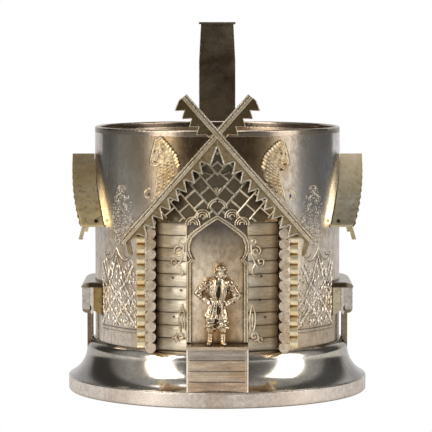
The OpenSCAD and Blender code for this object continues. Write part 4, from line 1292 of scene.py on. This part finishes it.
def add_robe(mesh, ring_shares, folds, fold_share):
    facets = 72
    rings = []
    for level, (centre, half_x, half_y, depth) in enumerate(ring_shares):
        ring = []
        for k in range(facets):
            turn = 2 * math.pi * k / facets
            sway = robe_sway * math.sin(2 * turn)
            wave = 1 + fold_share * depth * math.cos(folds * turn + sway + robe_drift * level)
            ring.append(at_figure((centre[0] + half_x * wave * math.cos(turn),
                                   centre[1] + half_y * wave * math.sin(turn), centre[2])))
        rings.append(ring)
    add_tube(mesh, rings)


def crumple(mesh, start_share, end_share, r_share, count, seed):
    rng = random.Random(seed)
    way = (Vector(end_share) - Vector(start_share)).normalized()
    side = way.cross(Vector((0, 1, 0))).normalized()
    for k in range(count):
        spot = Vector(start_share).lerp(Vector(end_share), (k + 0.5) / count)
        turn = rng.uniform(0, 2 * math.pi)
        out = side * math.cos(turn) + Vector((0, 1, 0)) * math.sin(turn)
        across = side * math.cos(turn + fold_turn) + Vector((0, 1, 0)) * math.sin(turn + fold_turn)
        root = spot + out * r_share * fold_sunk_share
        reach = across * r_share * rng.uniform(*fold_reach)
        slant = way * rng.uniform(*fold_slant) * r_share
        add_limb(mesh, root - reach - slant, fold_r_shares[0], root + reach + slant, fold_r_shares[1], 8)


def add_boots(mesh):
    boot_shares = ((-0.092, -0.014), (0.068, 0.022))
    fold_shares = ((0.165, 0.043), (0.110, 0.036), (0.080, 0.034))
    calf_r_share, ankle_r_share, heel_r_share, foot_r_share, toe_r_share = 0.040, 0.029, 0.031, 0.028, 0.023
    for along, toe in boot_shares:
        ankle = (along, 0.012, 0.075)
        add_limb(mesh, (along, 0.010, 0.165), calf_r_share, ankle, ankle_r_share)
        add_limb(mesh, ankle, ankle_r_share, (along, 0.012, 0.036), heel_r_share)
        add_limb(mesh, (along, 0.008, 0.026), foot_r_share, (along + toe, -0.058, 0.020), toe_r_share)
        add_blob(mesh, (along, 0.026, 0.018), (0.026, 0.022, 0.019))
        for height, radius in fold_shares:
            add_blob(mesh, (along, 0.010, height), (radius, radius, 0.009))


def add_trousers(mesh):
    leg_shares = (((-0.052, 0, 0.40), (-0.088, -0.012, 0.265), (-0.090, 0.006, 0.185)),
                  ((0.052, 0, 0.40), (0.060, -0.018, 0.265), (0.070, 0.004, 0.185)))
    hip_r_share, knee_r_share, shin_r_share = 0.075, 0.064, 0.052
    cuff_share = ((-0.006, 0, 0.012), (0.064, 0.056, 0.026), 10)
    bag_shares = (((0.008, -0.012, -0.022), (0.058, 0.058, 0.020), -14),
                  ((-0.004, -0.006, 0.034), (0.068, 0.064, 0.018), 12))
    for hip, knee, boot_top in leg_shares:
        add_limb(mesh, hip, hip_r_share, knee, knee_r_share)
        add_limb(mesh, knee, knee_r_share, boot_top, shin_r_share)
        for joint, (shift, half_shares, tilt) in ((boot_top, cuff_share), (knee, bag_shares[0]),
                                                  (knee, bag_shares[1])):
            add_blob(mesh, [a + b for a, b in zip(joint, shift)], half_shares, tilt)
        crumple(mesh, hip, knee, 0.066, 14, 31)
        crumple(mesh, knee, boot_top, 0.060, 12, 32)


def add_coat(mesh):
    skirt_shares = (((-0.012, 0, 0.335), 0.136, 0.096, 1), ((-0.011, 0, 0.352), 0.132, 0.094, 1),
                    ((-0.010, 0, 0.400), 0.118, 0.086, 0.9), ((-0.006, 0, 0.470), 0.106, 0.076, 0.6),
                    ((0.004, 0, 0.535), 0.092, 0.066, 0.25))
    chest_shares = (((0.004, 0, 0.530), 0.094, 0.064, 0.3), ((0.010, 0, 0.600), 0.104, 0.066, 0.5),
                    ((0.016, 0, 0.680), 0.124, 0.070, 0.4), ((0.018, 0, 0.745), 0.134, 0.068, 0.2),
                    ((0.018, 0, 0.785), 0.112, 0.056, 0))
    hem_folds = 12
    hem_shift = 0.3
    hem_middle, hem_half_x, hem_half_y, hem_height = -0.012, 0.130, 0.090, 0.336
    add_robe(mesh, skirt_shares, hem_folds, 0.16)
    for k in range(hem_folds):
        turn = 2 * math.pi * (k + hem_shift) / hem_folds
        add_blob(mesh, (hem_middle + hem_half_x * math.cos(turn), hem_half_y * math.sin(turn), hem_height),
                 (0.026, 0.022, 0.016), 20)
    add_robe(mesh, chest_shares, 9, 0.06)
    add_blob(mesh, (0.018, 0.004, 0.780), (0.118, 0.050, 0.030))


def add_lapels(mesh):
    lapel_shares = ((0.050, -0.036, 0.800), (0.064, -0.070, 0.730), (0.050, -0.080, 0.640),
                    (0.030, -0.074, 0.550), (0.036, -0.084, 0.470))
    lapel_r_shares = (0.018, 0.020, 0.017, 0.014, 0.014, 0.010)
    hem_shares = {-1: (-0.060, -0.084, 0.36), 1: (0.044, -0.086, 0.36)}
    seam_shares = ((0.098, -0.056, 0.740), (0.086, -0.070, 0.640), (0.062, -0.066, 0.560))
    seam_r_shares = (0.010, 0.011, 0.008)
    middle_share = 0.016
    for out, hem_share in hem_shares.items():
        add_chain(mesh, [(middle_share + out * x, y, z) for x, y, z in lapel_shares] + [hem_share],
                  lapel_r_shares)
        add_chain(mesh, [(middle_share + out * x, y, z) for x, y, z in seam_shares], seam_r_shares)


def add_sash(mesh):
    sash_shares = (((0.004, 0, 0.512), 0.100, 0.072, 0.4), ((0.004, 0, 0.524), 0.107, 0.078, 0.4),
                   ((0.005, 0, 0.546), 0.106, 0.077, 0.4), ((0.005, 0, 0.558), 0.098, 0.070, 0.4))
    end_places = (-0.034, -0.010)
    end_shares = ((0, -0.086, 0.520), (-0.008, -0.096, 0.450), (-0.010, -0.096, 0.400))
    end_r_shares = (0.008, 0.010, 0.014)
    add_robe(mesh, sash_shares, 13, 0.03)
    add_blob(mesh, (-0.020, -0.082, 0.530), (0.020, 0.014, 0.018))
    for along in end_places:
        add_chain(mesh, [(along + shift, y, z) for shift, y, z in end_shares], end_r_shares)


def add_arms(mesh):
    arm_shares = (((-0.118, 0.006, 0.755), (-0.246, 0.012, 0.640), (-0.122, -0.036, 0.530)),
                  ((0.150, 0.006, 0.755), (0.252, 0.012, 0.606), (0.124, -0.036, 0.516)))
    shoulder_r_share, elbow_r_share, wrist_r_share, cuff_r_share = 0.050, 0.040, 0.026, 0.035
    cuff_place, cuff_half = 0.76, 0.012
    # For the root and the tip of the first finger its place off the hand, and the step to the next.
    finger_shares = (((-0.004, -0.012, 0.010), (0, 0, -0.008)), ((0.034, -0.032, 0.012), (-0.004, 0, -0.012)))
    finger_r_shares = (0.009, 0.007)
    for shoulder, elbow, hand in arm_shares:
        add_limb(mesh, shoulder, shoulder_r_share, elbow, elbow_r_share)
        add_limb(mesh, elbow, elbow_r_share, hand, wrist_r_share)
        crumple(mesh, shoulder, elbow, 0.050, 15, 21)
        crumple(mesh, elbow, hand, 0.038, 9, 22)
        cuff = Vector(elbow).lerp(Vector(hand), cuff_place)
        step = (Vector(hand) - Vector(elbow)).normalized() * cuff_half
        add_limb(mesh, cuff - step, cuff_r_share, cuff + step, cuff_r_share)
        inner = 1 if hand[0] < 0 else -1
        for finger in range(4):
            root, tip = [(hand[0] + inner * (place[0] + step[0] * finger), hand[1] + place[1],
                          hand[2] + place[2] + step[2] * finger) for place, step in finger_shares]
            add_limb(mesh, root, finger_r_shares[0], tip, finger_r_shares[1], 8)


def add_head(mesh):
    middle_share = 0.042
    face_share = -0.058
    # Each form has its depth and height, what stands beside the middle line its distance first.
    skull_shares = ((-0.004, 0.888, (0.050, 0.056, 0.062), 24), (-0.018, 0.860, (0.039, 0.042, 0.038), 20),
                    (-0.052, 0.836, (0.016, 0.012, 0.011), 16))
    nose_shares = ((0.004, 0.892, 0.006), (-0.012, 0.871, 0.0085))
    paired_shares = ((0.009, -0.004, 0.869, (0.006, 0.007, 0.005), 0),
                     (0.020, 0.005, 0.903, (0.015, 0.007, 0.0045), 6),
                     (0.020, 0.008, 0.890, (0.0105, 0.006, 0.0060), 0),
                     (0.031, 0.012, 0.871, (0.015, 0.012, 0.016), 0))
    lip_shares = ((0.001, 0.8535, (0.0165, 0.007, 0.0040)), (0.003, 0.8475, (0.0125, 0.007, 0.0042)))
    locks = 6
    lock_from, lock_step = -50, 24
    lock_half_x, lock_half_z, lock_height = 0.070, 0.066, 0.888
    lock_depths = (-0.008, 0.012)
    add_limb(mesh, (0.024, 0, 0.775), 0.036, (middle_share, 0, 0.840), 0.033)
    for depth, height, half_shares, facets in skull_shares:
        add_blob(mesh, (middle_share, depth, height), half_shares, facets=facets)
    nose = [((middle_share, face_share + depth, height), radius) for depth, height, radius in nose_shares]
    add_limb(mesh, *nose[0], *nose[1], 10)
    for out in (-1, 1):
        for along, depth, height, half_shares, tilt in paired_shares:
            add_blob(mesh, (middle_share + out * along, face_share + depth, height), half_shares, out * tilt)
        for lock in range(locks):
            lean = math.radians(lock_from + lock_step * lock)
            add_blob(mesh, (middle_share + out * lock_half_x * math.cos(lean),
                            lock_depths[0] + lock_depths[1] * (lock % 2),
                            lock_height + lock_half_z * math.sin(lean)), (0.019, 0.030, 0.021), out * 30)
    for depth, height, half_shares in lip_shares:
        add_blob(mesh, (middle_share, face_share + depth, height), half_shares)


def add_cap(mesh):
    middle_share = 0.042
    brim_shares = ((0.928, 0.066), (0.950, 0.046))
    brim_depth = 0.006
    tufts = 16
    for level, (height, reach) in enumerate(brim_shares):
        for k in range(tufts):
            turn = 2 * math.pi * (k + 0.5 * level) / tufts
            spot = (middle_share + reach * math.cos(turn), brim_depth + reach * math.sin(turn), height)
            add_blob(mesh, spot, (0.017, 0.017, 0.020), 20 * (-1) ** k)
    add_blob(mesh, (middle_share, 0.014, 0.905), (0.070, 0.062, 0.062), facets=24)


# The figure's recesses darken over 1.7 mm, which paints shade in its folds as well as tarnish.
figure_recess = 1.7
voxel_share = 0.0062
soften_share = 0.5
figure_finish = metal("cast_gilt", (0.74, 0.62, 0.46), (0.55, 0.44, 0.31), (0.045, 0.032, 0.02), 0.22,
                      patch=300, bumps=0.15, recess=figure_recess, brighten=0.2)
mesh = bmesh.new()
for add_part in (add_boots, add_trousers, add_coat, add_lapels, add_sash, add_arms, add_head, add_cap):
    add_part(mesh)
figure = add_piece("peasant", closed(mesh), figure_finish)
fuse = figure.modifiers.new("fuse", "REMESH")
fuse.mode = "VOXEL"
fuse.voxel_size = figure_h * voxel_share
fuse.use_smooth_shade = True
soften = figure.modifiers.new("soften", "SMOOTH")
soften.factor = soften_share
soften.iterations = 1
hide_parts("peasant_figure")

shade_finish = metal("shaded_shirt", (0.16, 0.12, 0.075), (0.1, 0.075, 0.05), (0.04, 0.03, 0.02), 0.3,
                     bumps=0.2, brighten=0.1)
mesh = bmesh.new()
add_blob(mesh, (0.016, -0.064, 0.655), (0.026, 0.014, 0.088), 3)
add_blob(mesh, (0.014, -0.066, 0.430), (0.016, 0.022, 0.060))
add_piece("peasant_shirt", closed(mesh), shade_finish)


# Wood grain on the step: long shallow lines chased along the planks of the riser, between a
# plain frame of raised edges.
riser_low, riser_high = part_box("step_riser")
riser_foot = riser_low.z / MM
riser_half = riser_high.x / MM
plank_count = 4
plank_h = (riser_high.z - riser_low.z) / plank_count / MM
lines_per_plank = 4
grain_steps = 16
grain_pitch_share = 0.2
grain_cut = (0.2, 0.09)
wave_range = (0.03, 0.12)
length_shares = (0.5, 0.95)


def on_riser(along, height, rise):
    return Vector((along * MM, riser_low.y - rise * MM, height * MM))


mesh = bmesh.new()
rng = random.Random(11)
for plank in range(plank_count):
    for line in range(lines_per_plank):
        height = riser_foot + plank_h * (plank + grain_pitch_share + grain_pitch_share * line)
        wave = rng.uniform(*wave_range)
        length = rng.uniform(*length_shares) * riser_half
        middle = rng.uniform(-1, 1) * (riser_half - length)
        points = []
        for k in range(grain_steps + 1):
            share = k / grain_steps
            sway = wave * math.sin(7 * share + plank + line)
            points.append((middle + length * (2 * share - 1), height + sway))
        add_ridge(mesh, points, *grain_cut, on_riser)
add_piece("step_grain", closed(mesh), step_finish)

step_edge_cut = (0.5, 0.2)
step_edge_inset = 0.2
step_edge_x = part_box("step_cheek_right")[1].x / MM - step_edge_inset
step_edge_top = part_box("step_tread")[0].z / MM
plank_seam_cut = (0.16, 0.1)
plank_seam_lift = 0.3
# The frame edges and plank seams are painted bright as highlights, as well as worn.
mesh = bmesh.new()
for out in (-1, 1):
    add_ridge(mesh, [(out * step_edge_x, riser_foot), (out * step_edge_x, step_edge_top)],
              *step_edge_cut, on_riser)
for plank in range(1, plank_count):
    height = riser_foot + plank * plank_h + plank_seam_lift
    add_ridge(mesh, [(-riser_half, height), (riser_half, height)], *plank_seam_cut, on_riser)
add_piece("step_edges", closed(mesh), edge_wear_and_highlight)


# Pegs: a dark pin in the hole near each lower corner of the two hoods. Each one lies a little
# proud of the plank that it holds.
peg_r = 0.58
peg_depth = 1.3
peg_facets = 20
peg_inset = 4.1
peg_lift = 1.7
peg_sunk = 0.55
peg_out = hood_edge(0) - peg_inset
peg_height = hood_eave + peg_lift
peg_middle = hood_half - peg_sunk - peg_depth / 2
mesh = bmesh.new()
for side in (-1, 1):
    for facing in (-1, 1):
        place = Matrix.Translation(on_side(side, facing, peg_out, peg_middle, peg_height))
        bmesh.ops.create_cone(mesh, cap_ends=True, segments=peg_facets, radius1=peg_r * MM,
                              radius2=peg_r * MM, depth=peg_depth * MM,
                              matrix=place @ Matrix.Rotation(math.pi / 2, 4, "X"))
add_piece("hood_pegs", closed(mesh), dark_cut_and_shade)
